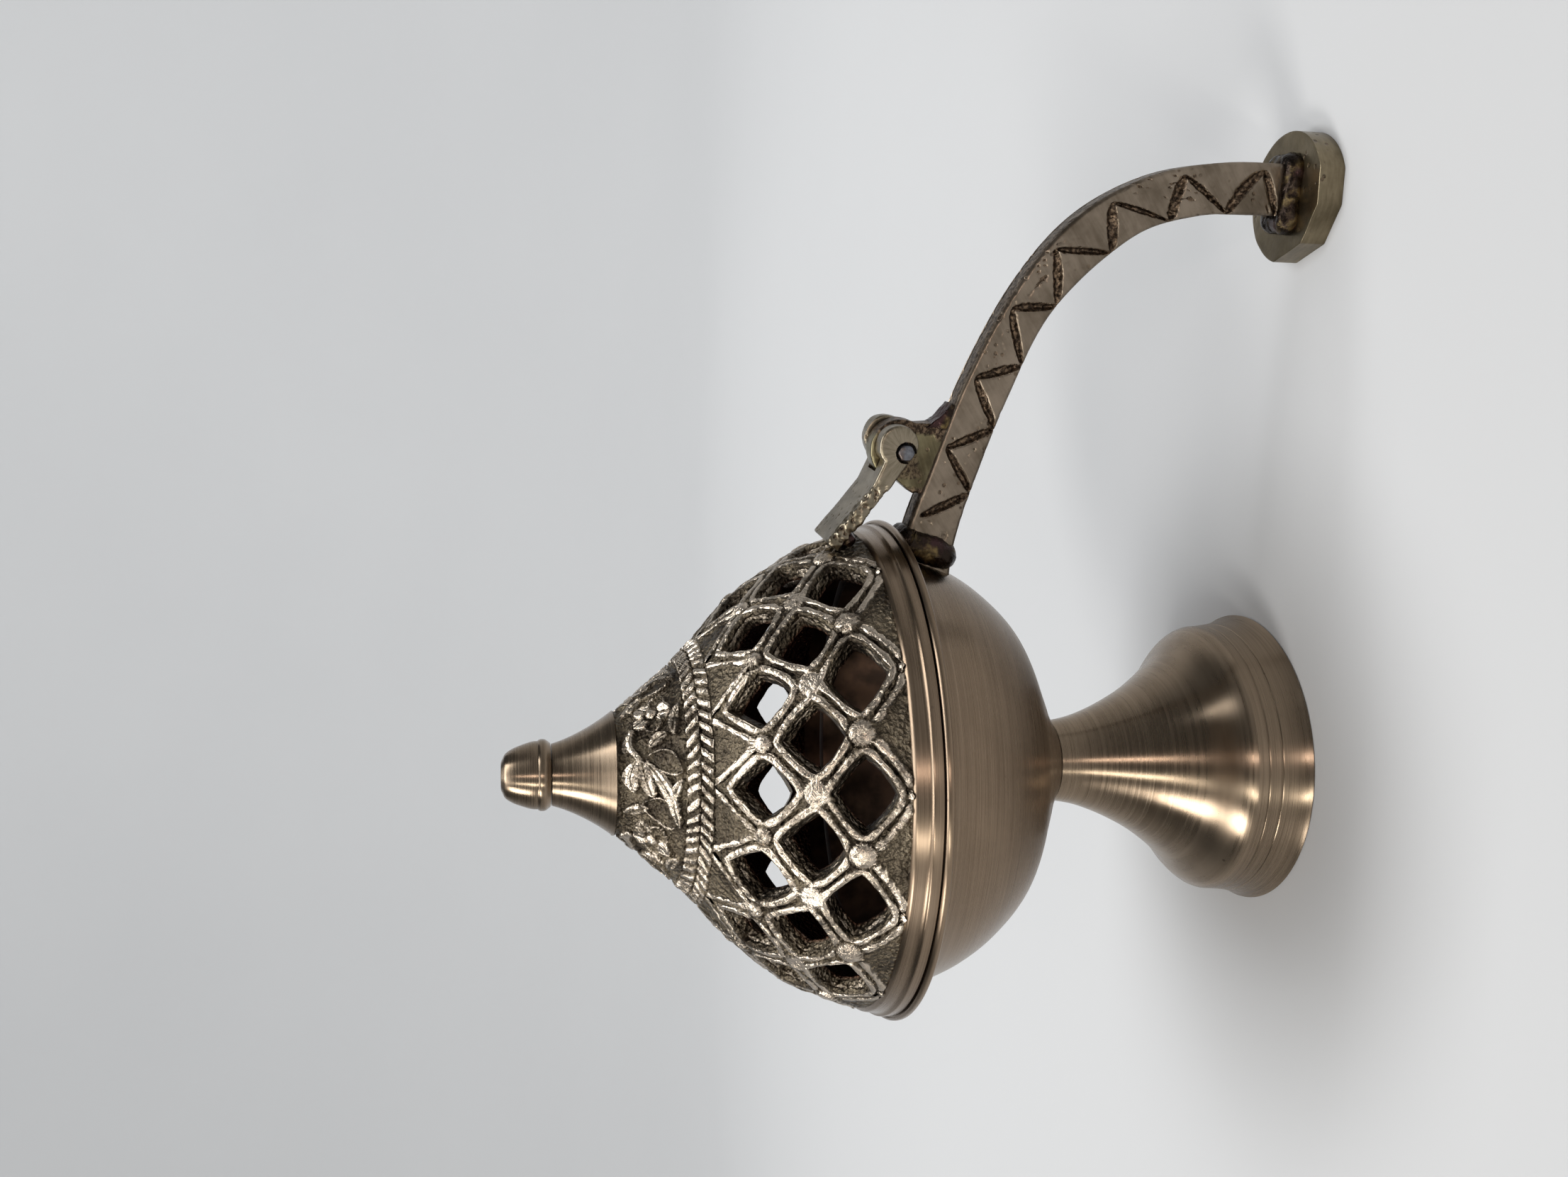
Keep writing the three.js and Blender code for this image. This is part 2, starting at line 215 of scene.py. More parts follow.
def make_piece(name, points, faces, material, centre_x=0.0, sharp_deg=50, marks=None):
    """A mesh object standing at (centre_x, 0), from points in millimetres about the bowl's axis.

    marks maps the name of each stored value to its numbers, one per point.
    """
    local = (np.asarray(points, float) - (centre_x, 0, 0)) * MM
    mesh = bpy.data.meshes.new(name)
    mesh.from_pydata(local.tolist(), [], [tuple(int(v) for v in face) for face in faces])
    for mark, values in (marks or {}).items():
        layer = mesh.attributes.new(mark, "FLOAT", "POINT")
        layer.data.foreach_set("value", np.asarray(values, np.float32))
    piece = new_object(name, mesh)
    piece.location = (AXIS_X + centre_x * MM, 0, 0)
    weld(mesh)
    finish_shading(mesh, sharp_deg)
    mesh.materials.append(material)
    return piece


def weld(mesh):
    """Joins points that coincide, and turns all faces outwards."""
    bm = bmesh.new()
    bm.from_mesh(mesh)
    bmesh.ops.remove_doubles(bm, verts=bm.verts, dist=0.004 * MM)
    bmesh.ops.recalc_face_normals(bm, faces=bm.faces)
    bm.to_mesh(mesh)
    bm.free()


def finish_shading(mesh, sharp_deg):
    """Shades faces smoothly except across edges sharper than an angle."""
    mesh.polygons.foreach_set("use_smooth", np.ones(len(mesh.polygons), bool))
    mesh.set_sharp_from_angle(angle=math.radians(sharp_deg))
    mesh.update()


def settle(piece, body, slot, *nodes):
    """Joins a finished piece to its body and hides the CAD nodes that it stands for; slot is not used."""
    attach(piece, body)
    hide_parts(*nodes)
    return piece


def lathe(name, outline, material, steps=TURN_STEPS, inside=None):
    """A turned piece from a closed (radius, z) outline. `inside` is 1 at the outline's inner points."""
    outline = np.asarray(outline, float)
    points = turned_points(full_turn(steps), outline[:, 0], outline[:, 1])
    marks = {} if inside is None else {"inside": np.tile(inside, steps)}
    return make_piece(name, points, grid_faces(steps, len(outline), True, True), material, 0.0, 40, marks)


def sweep(path, radius, around, closed=False):
    """Points and faces of a round bead along a path; `radius` has one value per path point."""
    path = np.asarray(path, float)
    if closed:
        along = np.roll(path, -1, 0) - np.roll(path, 1, 0)
    else:
        along = np.gradient(path, axis=0)
    along /= np.linalg.norm(along, axis=1)[:, None]
    side = np.cross(along, (0.31, 0.2, 0.93))
    side /= np.linalg.norm(side, axis=1)[:, None]
    up = np.cross(side, along)
    turn = full_turn(around)
    ring = side[:, None] * np.cos(turn)[None, :, None] + up[:, None] * np.sin(turn)[None, :, None]
    points = path[:, None] + ring * np.asarray(radius)[:, None, None]
    return points.reshape(-1, 3), grid_faces(len(path), around, closed, True)


def bead(name, path, radius, material, centre_x, closed=True, lumps=0.3):
    """An uneven run of brazing metal; an open run tapers to rounded ends."""
    around = 28
    size = np.full(len(path), float(radius))
    if not closed:
        t = np.linspace(-1, 1, len(path))
        size *= np.sqrt(np.clip(1 - t**8, 0.0004, 1))
    size = size * (1 + 0.12 * grain(path, 2.4))
    points, faces = sweep(path, size, around, closed)
    centre = np.repeat(path, around, 0)
    out = points - centre
    out /= np.linalg.norm(out, axis=1)[:, None] + 1e-9
    points = points + out * lumps * (0.6 * grain(points, 1.5) + 0.4 * grain(points, 0.6))[:, None]
    return make_piece(name, points, faces, material, centre_x, 80)


# ---------- material helpers ----------
def new_material(name):
    material = bpy.data.materials.new(name)
    material.use_nodes = True
    tree = material.node_tree
    return material, tree, tree.nodes["Principled BSDF"]


def place(tree):
    """Each point's place in its object, in metres."""
    return tree.nodes.new("ShaderNodeTexCoord").outputs["Object"]


def mark(tree, name):
    """A value stored in the mesh, or 0 where the mesh doesn't hold it."""
    node = tree.nodes.new("ShaderNodeAttribute")
    node.attribute_name = name
    return node.outputs["Fac"]


def is_socket(value):
    return isinstance(value, bpy.types.NodeSocket)


def feed(socket, value):
    """Sets a socket to a number or colour, or links it to another node's output."""
    if is_socket(value):
        socket.id_data.links.new(value, socket)
    else:
        socket.default_value = value


def new_node(kind, *values):
    """A node in the tree of whichever value is a socket, with its first inputs set or linked."""
    tree = next(value for value in values if is_socket(value)).id_data
    node = tree.nodes.new(kind)
    for socket, value in zip(node.inputs, values):
        feed(socket, value)
    return node


def maths(operation, a, b=0.0):
    node = new_node("ShaderNodeMath", a, b)
    node.operation = operation
    return node.outputs[0]


def plus(a, b):
    return maths("ADD", a, b)


def minus(a, b):
    return maths("SUBTRACT", a, b)


def times(a, b):
    return maths("MULTIPLY", a, b)


def long_side(a, b):
    """The square root of a squared plus b squared."""
    return maths("SQRT", plus(times(a, a), times(b, b)))


def blend(amount, a, b):
    node = new_node("ShaderNodeMix", amount)
    node.data_type = "RGBA"
    feed(node.inputs[6], a)
    feed(node.inputs[7], b)
    return node.outputs[2]


def remap(value, low, high, to_low=0.0, to_high=1.0):
    node = new_node("ShaderNodeMapRange", value, low, high, to_low, to_high)
    node.interpolation_type = "SMOOTHSTEP"
    return node.outputs[0]


def noise(vector, scale, detail=2.0, roughness=0.5):
    node = new_node("ShaderNodeTexNoise", vector)
    node.inputs["Scale"].default_value = scale
    node.inputs["Detail"].default_value = detail
    node.inputs["Roughness"].default_value = roughness
    return node.outputs["Fac"]


def cells(vector, scale):
    node = new_node("ShaderNodeTexVoronoi", vector)
    node.inputs["Scale"].default_value = scale
    return node.outputs["Distance"]


def bump(height, distance_mm, strength=1.0, under=None):
    node = height.id_data.nodes.new("ShaderNodeBump")
    node.inputs["Strength"].default_value = strength
    node.inputs["Distance"].default_value = distance_mm * MM
    feed(node.inputs["Height"], height)
    if under is not None:
        feed(node.inputs["Normal"], under)
    return node.outputs[0]


def turning_lines(vector, along, across):
    """A vector whose noise is drawn out into rings round the object's Z axis, as a lathe tool leaves."""
    x, y, z = new_node("ShaderNodeSeparateXYZ", vector).outputs
    depth = plus(times(long_side(x, y), 0.85), z)
    return new_node("ShaderNodeCombineXYZ", times(x, along), times(y, along), times(depth, across)).outputs[0]


def strokes_along(vector, scale, turn_deg):
    """A vector whose noise is drawn out into straight strokes, turned about Y."""
    turned = new_node("ShaderNodeMapping", vector)
    turned.inputs["Rotation"].default_value = (0, math.radians(turn_deg), 0)
    stretched = new_node("ShaderNodeMapping", turned.outputs[0])
    stretched.inputs["Scale"].default_value = scale
    return stretched.outputs[0]


def strokes_round(vector, centre_x, centre_z):
    """A vector whose noise is drawn out into strokes that point to a centre in the XZ plane."""
    x, y, z = new_node("ShaderNodeSeparateXYZ", vector).outputs
    right, up = minus(x, centre_x * MM), minus(z, centre_z * MM)
    angle = maths("ARCTAN2", up, right)
    return new_node("ShaderNodeCombineXYZ", times(angle, 7.0), times(long_side(right, up), 320.0),
                    times(y, 160.0)).outputs[0]


def finish_metal(shader, colour, roughness, normal):
    feed(shader.inputs["Base Color"], colour)
    feed(shader.inputs["Roughness"], roughness)
    feed(shader.inputs["Normal"], normal)
    shader.inputs["Metallic"].default_value = 1.0


# ---------- materials ----------
def turned_brass(name, light, dark):
    """Antique brass, turned and brushed on a lathe, with patches, tarnish spots and a sooty inside."""
    material, tree, shader = new_material(name)
    here = place(tree)
    fine = noise(turning_lines(here, 32, 5600), 1.0, 3.0, 0.7)
    coarse = noise(turning_lines(here, 24, 1700), 1.0, 3.0, 0.6)
    patches = noise(here, 55, 4.0, 0.55)
    tone = plus(times(fine, 0.6), plus(times(coarse, 0.3), times(patches, 0.35)))
    colour = blend(remap(tone, 0.40, 0.86), dark, light)
    spots = remap(cells(here, 210), 0.045, 0.075, 1.0, 0.0)
    tarnish = times(spots, remap(noise(here, 90, 1.0), 0.55, 0.62))
    colour = blend(times(tarnish, 0.55), colour, (0.07, 0.045, 0.03, 1))
    roughness = remap(plus(times(fine, 0.5), times(patches, 0.5)), 0.3, 0.75, 0.23, 0.36)
    inner = mark(tree, "inside")
    soot = remap(noise(here, 160, 4.0), 0.35, 0.65)
    colour = blend(inner, colour, blend(soot, (0.04, 0.026, 0.019, 1), (0.12, 0.07, 0.046, 1)))
    roughness = plus(roughness, times(inner, 0.12))
    finish_metal(shader, colour, roughness, bump(coarse, 0.016, 0.3, bump(fine, 0.011, 0.6)))
    shader.inputs["Anisotropic"].default_value = 0.85
    shader.inputs["Anisotropic Rotation"].default_value = 0.25
    tangent = tree.nodes.new("ShaderNodeTangent")
    tangent.direction_type = "RADIAL"
    tangent.axis = "Z"
    feed(shader.inputs["Tangent"], tangent.outputs[0])
    return material


def cast_brass(name):
    """Cast relief: granular olive-brown in its hollows, burnished on its high points, red-brown inside."""
    material, tree, shader = new_material(name)
    here = place(tree)
    patches = noise(here, 120, 4.0, 0.6)
    sand = noise(here, 1500, 3.0, 0.65)
    low = blend(remap(patches, 0.35, 0.65), (0.05, 0.039, 0.028, 1), (0.16, 0.13, 0.09, 1))
    high = blend(remap(patches, 0.3, 0.7), (0.42, 0.355, 0.28, 1), (0.62, 0.53, 0.43, 1))
    shown = remap(plus(mark(tree, "polish"), times(minus(sand, 0.5), 0.7)), 0.25, 0.7)
    red = blend(remap(patches, 0.35, 0.65), (0.03, 0.017, 0.012, 1), (0.11, 0.05, 0.03, 1))
    colour = blend(mark(tree, "inside"), blend(shown, low, high), red)
    grains = bump(times(sand, minus(1.5, shown)), 0.42)
    pits = times(cells(here, 1300), minus(1.2, shown))
    finish_metal(shader, colour, remap(shown, 0, 1, 0.33, 0.26), bump(pits, 0.45, 0.8, grains))
    return material


def filed_brass(name, light, dark, strokes_in, stroke_share=0.3, stroke_bump=(0.02, 0.3)):
    """Cast brass filed flat, with pits and, wherever `polish` is low, oxide. `heat` darkens it to brown.

    strokes_in turns a place into the vector that the file strokes' noise is read at.
    """
    material, tree, shader = new_material(name)
    here = place(tree)
    strokes = noise(strokes_in(here), 1.0, 3.0, 0.65)
    patches = noise(here, 110, 4.0, 0.6)
    sand = noise(here, 1700, 3.0, 0.65)
    pits = times(remap(cells(here, 620), 0.16, 0.30, 1.0, 0.0), remap(noise(here, 140, 2.0), 0.52, 0.62))
    tone = plus(times(strokes, stroke_share), times(patches, 1 - stroke_share))
    colour = blend(remap(tone, 0.34, 0.66), dark, light)
    heat = times(mark(tree, "heat"), remap(patches, 0.3, 0.6, 0.45, 1.0))
    colour = blend(heat, colour, (0.085, 0.055, 0.045, 1))
    oxide = blend(remap(sand, 0.4, 0.62), (0.035, 0.025, 0.018, 1), (0.17, 0.12, 0.08, 1))
    shown = remap(plus(mark(tree, "polish"), times(minus(sand, 0.5), 0.5)), 0.3, 0.6)
    shown = times(shown, minus(1.0, times(pits, 0.8)))
    hollows = bump(minus(1.0, pits), 0.18, 0.8, bump(strokes, *stroke_bump))
    grit = times(sand, minus(1.15, shown))
    colour = blend(shown, oxide, colour)
    finish_metal(shader, colour, remap(shown, 0, 1, 0.42, 0.31), bump(grit, 0.2, 0.8, hollows))
    shader.inputs["Anisotropic"].default_value = 0.3
    return material


def braze_alloy(name):
    """Glossy brown-black brazing metal with gold and purple heat tints."""
    material, tree, shader = new_material(name)
    here = place(tree)
    patches = noise(here, 330, 4.0, 0.6)
    gold = blend(remap(patches, 0.5, 0.74), (0.025, 0.018, 0.014, 1), (0.2, 0.145, 0.065, 1))
    colour = blend(remap(noise(here, 190, 3.0), 0.5, 0.66), gold, (0.055, 0.03, 0.03, 1))
    crust = bump(noise(here, 1300, 3.0, 0.6), 0.2, 0.8)
    finish_metal(shader, colour, remap(patches, 0.35, 0.65, 0.2, 0.45), crust)
    return material


def worn_steel(name):
    """Dull grey steel with scuffs and a little brown stain."""
    material, tree, shader = new_material(name)
    here = place(tree)
    scuffs = noise(here, 900, 4.0, 0.7)
    stain = remap(noise(here, 260, 3.0), 0.55, 0.7)
    colour = blend(remap(scuffs, 0.3, 0.7), (0.09, 0.093, 0.105, 1), (0.2, 0.205, 0.225, 1))
    colour = blend(stain, colour, (0.11, 0.075, 0.055, 1))
    finish_metal(shader, colour, remap(scuffs, 0.3, 0.7, 0.5, 0.3), bump(scuffs, 0.06, 0.7))
    return material


# ---------- turned pieces ----------
def make_foot(brass):
    """A flared bell over a skirt with two scribed grooves, hollow underneath."""
    bell = smooth_run([(24.98, 8.7), (24.85, 9.6), (24.2, 10.8), (22.7, 12.4), (18.6, 16), (14, 22),
                       (10.6, 28.3), (8.4, 34), (7.4, FOOT_TOP_Z)], 120)
    skirt = smooth_run([(FOOT_R - 0.05, 0.25), (FOOT_R - 0.5, 1.0), (26.1, 2.2), (25.55, 4.2),
                        (25.2, 6.4), (24.98, 8.7)], 120)[:-1]
    for groove_z in SKIRT_GROOVES:
        skirt[:, 0] -= 0.1 * np.exp(-(((skirt[:, 1] - groove_z) / 0.09) ** 2))
    hollow = smooth_run([(21.6, 9.5), (17, 13), (12.2, 19), (8.6, 25.5), (6.6, FOOT_TOP_Z - 8)], 24)[::-1]
    bore = [(7.4, FOOT_TOP_Z), (SCREW_HOLE_R, FOOT_TOP_Z), (SCREW_HOLE_R, FOOT_TOP_Z - 8)]
    outline = [(FOOT_R - 0.3, 0), *skirt, *bell, *bore, *hollow, (22.4, 7.5), (24.3, 0)]
    settle(lathe("foot_turned", outline, brass), "base", "turned_brass", "foot")


def make_bowl(brass):
    """The bowl with its rolled lip and the hole for the screw."""
    wall = smooth_run(BOWL_PROFILE, 64)
    lip = soften([(LIP_R - 0.6, 71.9, 0.3), (LIP_R, 72.2, 0.35), (LIP_R, LIP_TOP_Z - 0.35, 0.35),
                  (LIP_R - 0.6, LIP_TOP_Z, 0.3)])
    inner = smooth_run([(12, 44.6), (19.2, 48.2), (26, 52.2), (31.2, 57.6), (34.5, 63), (37, 69),
                        (38.2, LIP_TOP_Z)], 44)[::-1]
    floor = [(6.4, NECK_Z + 2.2), (SCREW_HOLE_R, NECK_Z + 2.2), (SCREW_HOLE_R, NECK_Z)]
    outside = [(7.4, NECK_Z), *wall, (40.9, 71.9), *lip]
    outline = [*outside, *inner, *floor]
    inside = [0.0] * len(outside) + [1.0] * (len(inner) + 2) + [0.0]
    settle(lathe("bowl_turned", outline, brass, inside=inside), "base", "turned_brass", "bowl")


def make_lid_rim(brass):
    """The turned rim under the lid's cast pattern."""
    low_z = LID_BASE_Z - 0.2
    outline = soften([(44.2, low_z, 0.12), (44.15, 75.15, 0.25), (43.75, 75.35, 0.2), (43.55, 75.7, 0.2),
                      (43.2, 77.7, 0.3), (42.6, 78.1, 0.2), (41.6, 78.1), (40.3, 77.2), (40.8, low_z)])
    inside = np.where(outline[:, 0] < 41.8, 1.0, 0.0)
    settle(lathe("lid_rim", outline, brass, inside=inside), "lid", "cast_brass", "lid")


def make_lid_cone(brass):
    """The turned cone above the lid's cast pattern."""
    side = smooth_run([(11.0, 120.7), (9.5, 122.8), (8.2, 124.9), (7.0, 127.2), (6.05, 129.4),
                       (5.41, LID_TOP_Z)], 40)
    inner = [(2.7, LID_TOP_Z), (2.7, 120.5), (6, 120.3)]
    settle(lathe("lid_cone", [*side, *inner], brass), "lid", "cast_brass", "lid")


def make_finial(brass):
    """A domed knob on a collar, with its stud down through the cone."""
    seat = LID_TOP_Z + 0.1
    collar = soften([(5.5, seat, 0.2), (6.27, seat + 1.0, 0.35), (6.27, 133.3, 0.3), (5.95, 133.7, 0.1),
                     (5.95, 134.0, 0.1)])
    dome = smooth_run([(5.95, 134.2), (5.8, 135), (5.35, 136.4), (4.75, 137.9), (3.9, 139.2),
                       (2.9, TOP_Z - 0.25)], 36)
    top = soften([(2.8, TOP_Z - 0.2), (2.3, TOP_Z, 0.2), (0, TOP_Z)])
    outline = [(0, 121.5), (2.4, 121.5), (2.4, seat), *collar, *dome, *top]
    settle(lathe("finial_turned", outline, brass, steps=160), "lid", "turned_brass", "finial")


# ---------- the lid's cast pattern ----------
LID_CURVE = smooth_run(LID_PROFILE, 700)
LID_S = np.concatenate([[0], np.cumsum(np.hypot(*np.diff(LID_CURVE, axis=0).T))])
LID_TANGENT = np.gradient(LID_CURVE, axis=0)
LID_NORMAL = np.stack([LID_TANGENT[:, 1], -LID_TANGENT[:, 0]], 1)
LID_NORMAL /= np.linalg.norm(LID_NORMAL, axis=1)[:, None]


def slope_at(z):
    """Distance up the lid's wall, in millimetres, at a height."""
    return np.interp(z, LID_CURVE[:, 1], LID_S)


def lid_point(angle_deg, s, depth):
    """The point on the lid at an angle from the handle and a distance up the wall, raised by depth."""
    r = np.interp(s, LID_S, LID_CURVE[:, 0]) + depth * np.interp(s, LID_S, LID_NORMAL[:, 0])
    z = np.interp(s, LID_S, LID_CURVE[:, 1]) + depth * np.interp(s, LID_S, LID_NORMAL[:, 1])
    angle = np.radians(angle_deg)
    return np.stack([r * np.cos(angle), r * np.sin(angle), z], -1)


def lid_radius(s):
    return np.interp(s, LID_S, LID_CURVE[:, 0])


NODE_S = slope_at(NODE_Z)
# Bosses stand where ribs cross at some heights: radius and rise above the ribs, by index in NODE_Z.
BOSSES = {0: (0.95, 0.25), 1: (2.05, 0.55), 2: (1.9, 0.02), 3: (1.45, 0.35)}
# Rows from the top: the index of its middle height, its turn in pitches, and the size of its window.
# The window's straight sides, side corners and end corners are shares of the cell's half width and height.
ROWS = (
    {"node": 3, "turn": 0.0, "outer": (0.71, 0.82, 0.72), "inner": (0.63, 0.75, 0.62)},
    {"node": 2, "turn": 0.5, "outer": (0.74, 0.77, 0.78), "inner": (0.64, 0.66, 0.67)},
    {"node": 1, "turn": 0.0, "outer": (0.76, 0.76, 0.83), "inner": (0.67, 0.68, 0.73)},
)


def groove_and_rib(distance, along, points):
    """Relief beside a rib's middle line: an almond-shaped chased groove with a polished rim outside it."""
    half = 0.36 * np.sqrt(np.clip(1 - ((along - 0.5) / 0.33) ** 2, 0, 1)) * (1 + 0.45 * grain(points, 2.3))
    return -0.72 * step(-0.28, 0.36, half - distance) * step(0, 0.2, half)


def boss_relief(index, reach):
    """Height of a boss and the dark ring round it, at a distance from its middle."""
    radius, rise = BOSSES[index]
    dome = rise * np.sqrt(np.clip(1 - (reach / radius) ** 2, 0, 1)) * step(0, 0.12, 1 - reach / radius)
    ring = -0.38 * (rise > 0.1) * np.exp(-(((reach - radius - 0.28) / 0.27) ** 2))
    return dome + ring


def bosses_near(angle, s, middles):
    """Sum of the bosses among (node index, angle) pairs, and how much of the surface they cover."""
    total = np.zeros_like(s)
    cover = np.zeros_like(s)
    for index, node_angle in middles:
        if index not in BOSSES:
            continue
        across = np.radians(angle - node_angle) * lid_radius(s)
        reach = np.hypot(across, s - NODE_S[index])
        total += boss_relief(index, reach)
        cover = np.maximum(cover, step(0.35, -0.1, reach - BOSSES[index][0]))
    return total, cover


def window_reach(direction, sizes):
    """How far out from a window's middle its edge lies, as a share of the way to the cell's edge."""
    sides, corner_a, corner_b = sizes
    a, b = np.abs(direction[..., 0]), np.abs(direction[..., 1])
    power = 4.5
    reach = (1 / sides) ** power + (a / corner_a) ** power + (b / corner_b) ** power
    return reach ** (-1 / power)


def cast_skin(height, points):
    """The relief's height with the casting's roughness, and how far handling has polished it."""
    handled = 0.6 + 0.4 * step(-0.45, 0.35, grain(points + 50, 3.4))
    polish = step(-0.45, -0.05, height) * handled * (0.72 + 0.28 * step(-0.3, 0.2, grain(points + 70, 0.7)))
    coarse = 0.11 * grain(points, 2.6)
    fine = (0.09 + 0.2 * (1 - polish)) * rough(points, 0.8)
    return height + coarse + fine, np.maximum(polish, 0.12)


def cast_row(angle, s, height):
    """One row of a patch's outer face: points, polish, and 0 for not inside."""
    height, polish = cast_skin(height, lid_point(angle, s, 0))
    return lid_point(angle, s, height), polish, 0.0


def inner_row(angle, s):
    """One row of a patch's inner face."""
    return lid_point(angle, s, np.full_like(s, -LID_WALL)), 0.0, 1.0


def patch(rows, wrap_rows, wrap_columns):
    """Joins rows of (points, polish, inside) into one (points, faces, polish, inside)."""
    columns = len(rows[0][0])
    faces = grid_faces(len(rows), columns, wrap_rows, wrap_columns)
    polish = [np.broadcast_to(row[1], columns) for row in rows]
    inside = [np.broadcast_to(row[2], columns) for row in rows]
    return np.concatenate([row[0] for row in rows]), faces, np.concatenate(polish), np.concatenate(inside)


def join_patches(patches):
    """Joins several (points, faces, polish, inside) into one."""
    starts = np.cumsum([0] + [len(points) for points, _, _, _ in patches])
    faces = [faces + start for (_, faces, _, _), start in zip(patches, starts)]
    points, _, polish, inside = zip(*patches)
    return np.concatenate(points), np.concatenate(faces), np.concatenate(polish), np.concatenate(inside)


def settle_relief(name, piece_patch, brass):
    points, faces, polish, inside = piece_patch
    piece = make_piece(name, points, faces, brass, 0.0, 60, {"polish": polish, "inside": inside})
    settle(piece, "lid", "cast_brass", "lid")


def cell_height(angle, s, local, middles, middle_to_edge, window_gap):
    """Height of the outer face inside one cell, where window_gap is the distance to the hole."""
    a, b = np.abs(local[..., 0]), np.abs(local[..., 1])
    edge = np.clip(1 - a - b, 0, 1) * middle_to_edge
    along = b / np.maximum(a + b, 1e-6)
    bosses, cover = bosses_near(angle, s, middles)
    groove = groove_and_rib(edge, along, lid_point(angle, s, 0))
    hollow = np.minimum(groove, -0.42 * step(1.2, 1.75, window_gap))
    rounded_edge = 0.7 * (1 - np.clip(window_gap / 0.65, 0, 1)) ** 2
    return hollow * (1 - cover) + bosses - rounded_edge


def cell(row, angle):
    """One window and the ribs round it, as a diamond between four crossings of ribs.

    A local point (a, b) runs from -1 to 1 between the diamond's side corners and its end corners.
    """
    node = row["node"]
    s_mid, s_low, s_high = NODE_S[node], NODE_S[node - 1], NODE_S[node + 1]
    corners = np.array([(1, 0), (0, 1), (-1, 0), (0, -1)], float)
    t = np.linspace(0, 1, EDGE_STEPS, endpoint=False)[:, None]
    direction = np.concatenate([corners[i] * (1 - t) + corners[(i + 1) % 4] * t for i in range(4)])

    def spread(local):
        a, b = local[..., 0], local[..., 1]
        return angle + a * HALF_PITCH, s_mid + np.where(b > 0, b * (s_high - s_mid), b * (s_mid - s_low))

    near_edge = lid_point(*spread(direction * 0.7), 0)
    outer = window_reach(direction, row["outer"]) * (1 + 0.04 * grain(near_edge, 3.0))
    ragged = 1 + 0.035 * grain(near_edge, 2.6) + 0.02 * grain(near_edge, 0.9)
    inner = window_reach(direction, row["inner"]) * ragged
    half_w = math.radians(HALF_PITCH) * lid_radius(s_mid)
    half_h = np.where(direction[:, 1] > 0, s_high - s_mid, s_mid - s_low)
    middle_to_edge = half_w * half_h / np.hypot(half_w, half_h)
    reach_mm = np.hypot(direction[:, 0] * half_w, direction[:, 1] * half_h)
    middles = ((node, angle - HALF_PITCH), (node, angle + HALF_PITCH), (node + 1, angle), (node - 1, angle))
    rows = []
    for f in np.linspace(0, 1, 12) ** 0.85:
        local = direction * (1 - f * (1 - outer))[:, None]
        a, s = spread(local)
        gap = (1 - f) * (1 - outer) * reach_mm
        rows.append(cast_row(a, s, cell_height(a, s, local, middles, middle_to_edge, gap)))
    for f in (0.2, 0.45, 0.72, 1.0):
        a, s = spread(direction * (outer + (inner - outer) * f**1.25)[:, None])
        depth = -0.8 + (0.8 - LID_WALL) * f
        flat = lid_point(a, s, depth)
        polish = 0.5 - 0.45 * f + 0.25 * grain(flat, 1.6)
        rows.append((lid_point(a, s, depth + 0.22 * rough(flat, 1.0) * (f < 1)), polish, step(0.75, 1.0, f)))
    for f in (0.5, 1.0):
        rows.append(inner_row(*spread(direction * (inner + (1 - inner) * f)[:, None])))
    return patch(rows, False, True)


def border_fill(upper, angle):
    """The triangle of granular ground between two windows' arches and the pattern's upper or lower line."""
    point_node, edge_node, rib_width = (3, 4, 1.25) if upper else (1, 0, 1.55)
    line_s = NODE_S[edge_node]
    rise = line_s - NODE_S[point_node]
    across = np.linspace(-1, 1, 2 * EDGE_STEPS + 1)
    along = np.abs(across)
    start_s = NODE_S[point_node] + along * rise
    a = angle + across * HALF_PITCH
    half_w = math.radians(HALF_PITCH) * lid_radius(NODE_S[point_node])
    slant = half_w / math.hypot(half_w, rise)
    middles = ((point_node, angle), (edge_node, angle - HALF_PITCH), (edge_node, angle + HALF_PITCH))
    rows = []
    for f in np.linspace(0, 1, 11):
        s = start_s + (line_s - start_s) * f
        distance = np.abs(s - start_s) * slant
        bosses, cover = bosses_near(a, s, middles)
        rib = groove_and_rib(distance, along, lid_point(a, s, 0)) * (distance < 0.9)
        ground = (GROUND + 0.15) * step(rib_width - 0.3, rib_width + 0.25, distance)
        height = (rib + ground) * (1 - cover) + bosses
        rows.append(cast_row(a, s, np.where(np.abs(s - line_s) < 0.35, np.minimum(height, -0.3), height)))
    for f in (1.0, 0.0):
        rows.append(inner_row(a, start_s + (line_s - start_s) * f))
    return patch(rows, False, False)


def make_lattice(brass):
    """All the windows, and the ground between them and the pattern's upper and lower lines."""
    patches = []
    for i in range(WINDOWS):
        for row in ROWS:
            patches.append(cell(row, WINDOW_PHASE + (i + row["turn"]) * 2 * HALF_PITCH))
        for upper in (True, False):
            patches.append(border_fill(upper, WINDOW_PHASE + (i + 0.5) * 2 * HALF_PITCH))
    settle_relief("lid_lattice", join_patches(patches), brass)


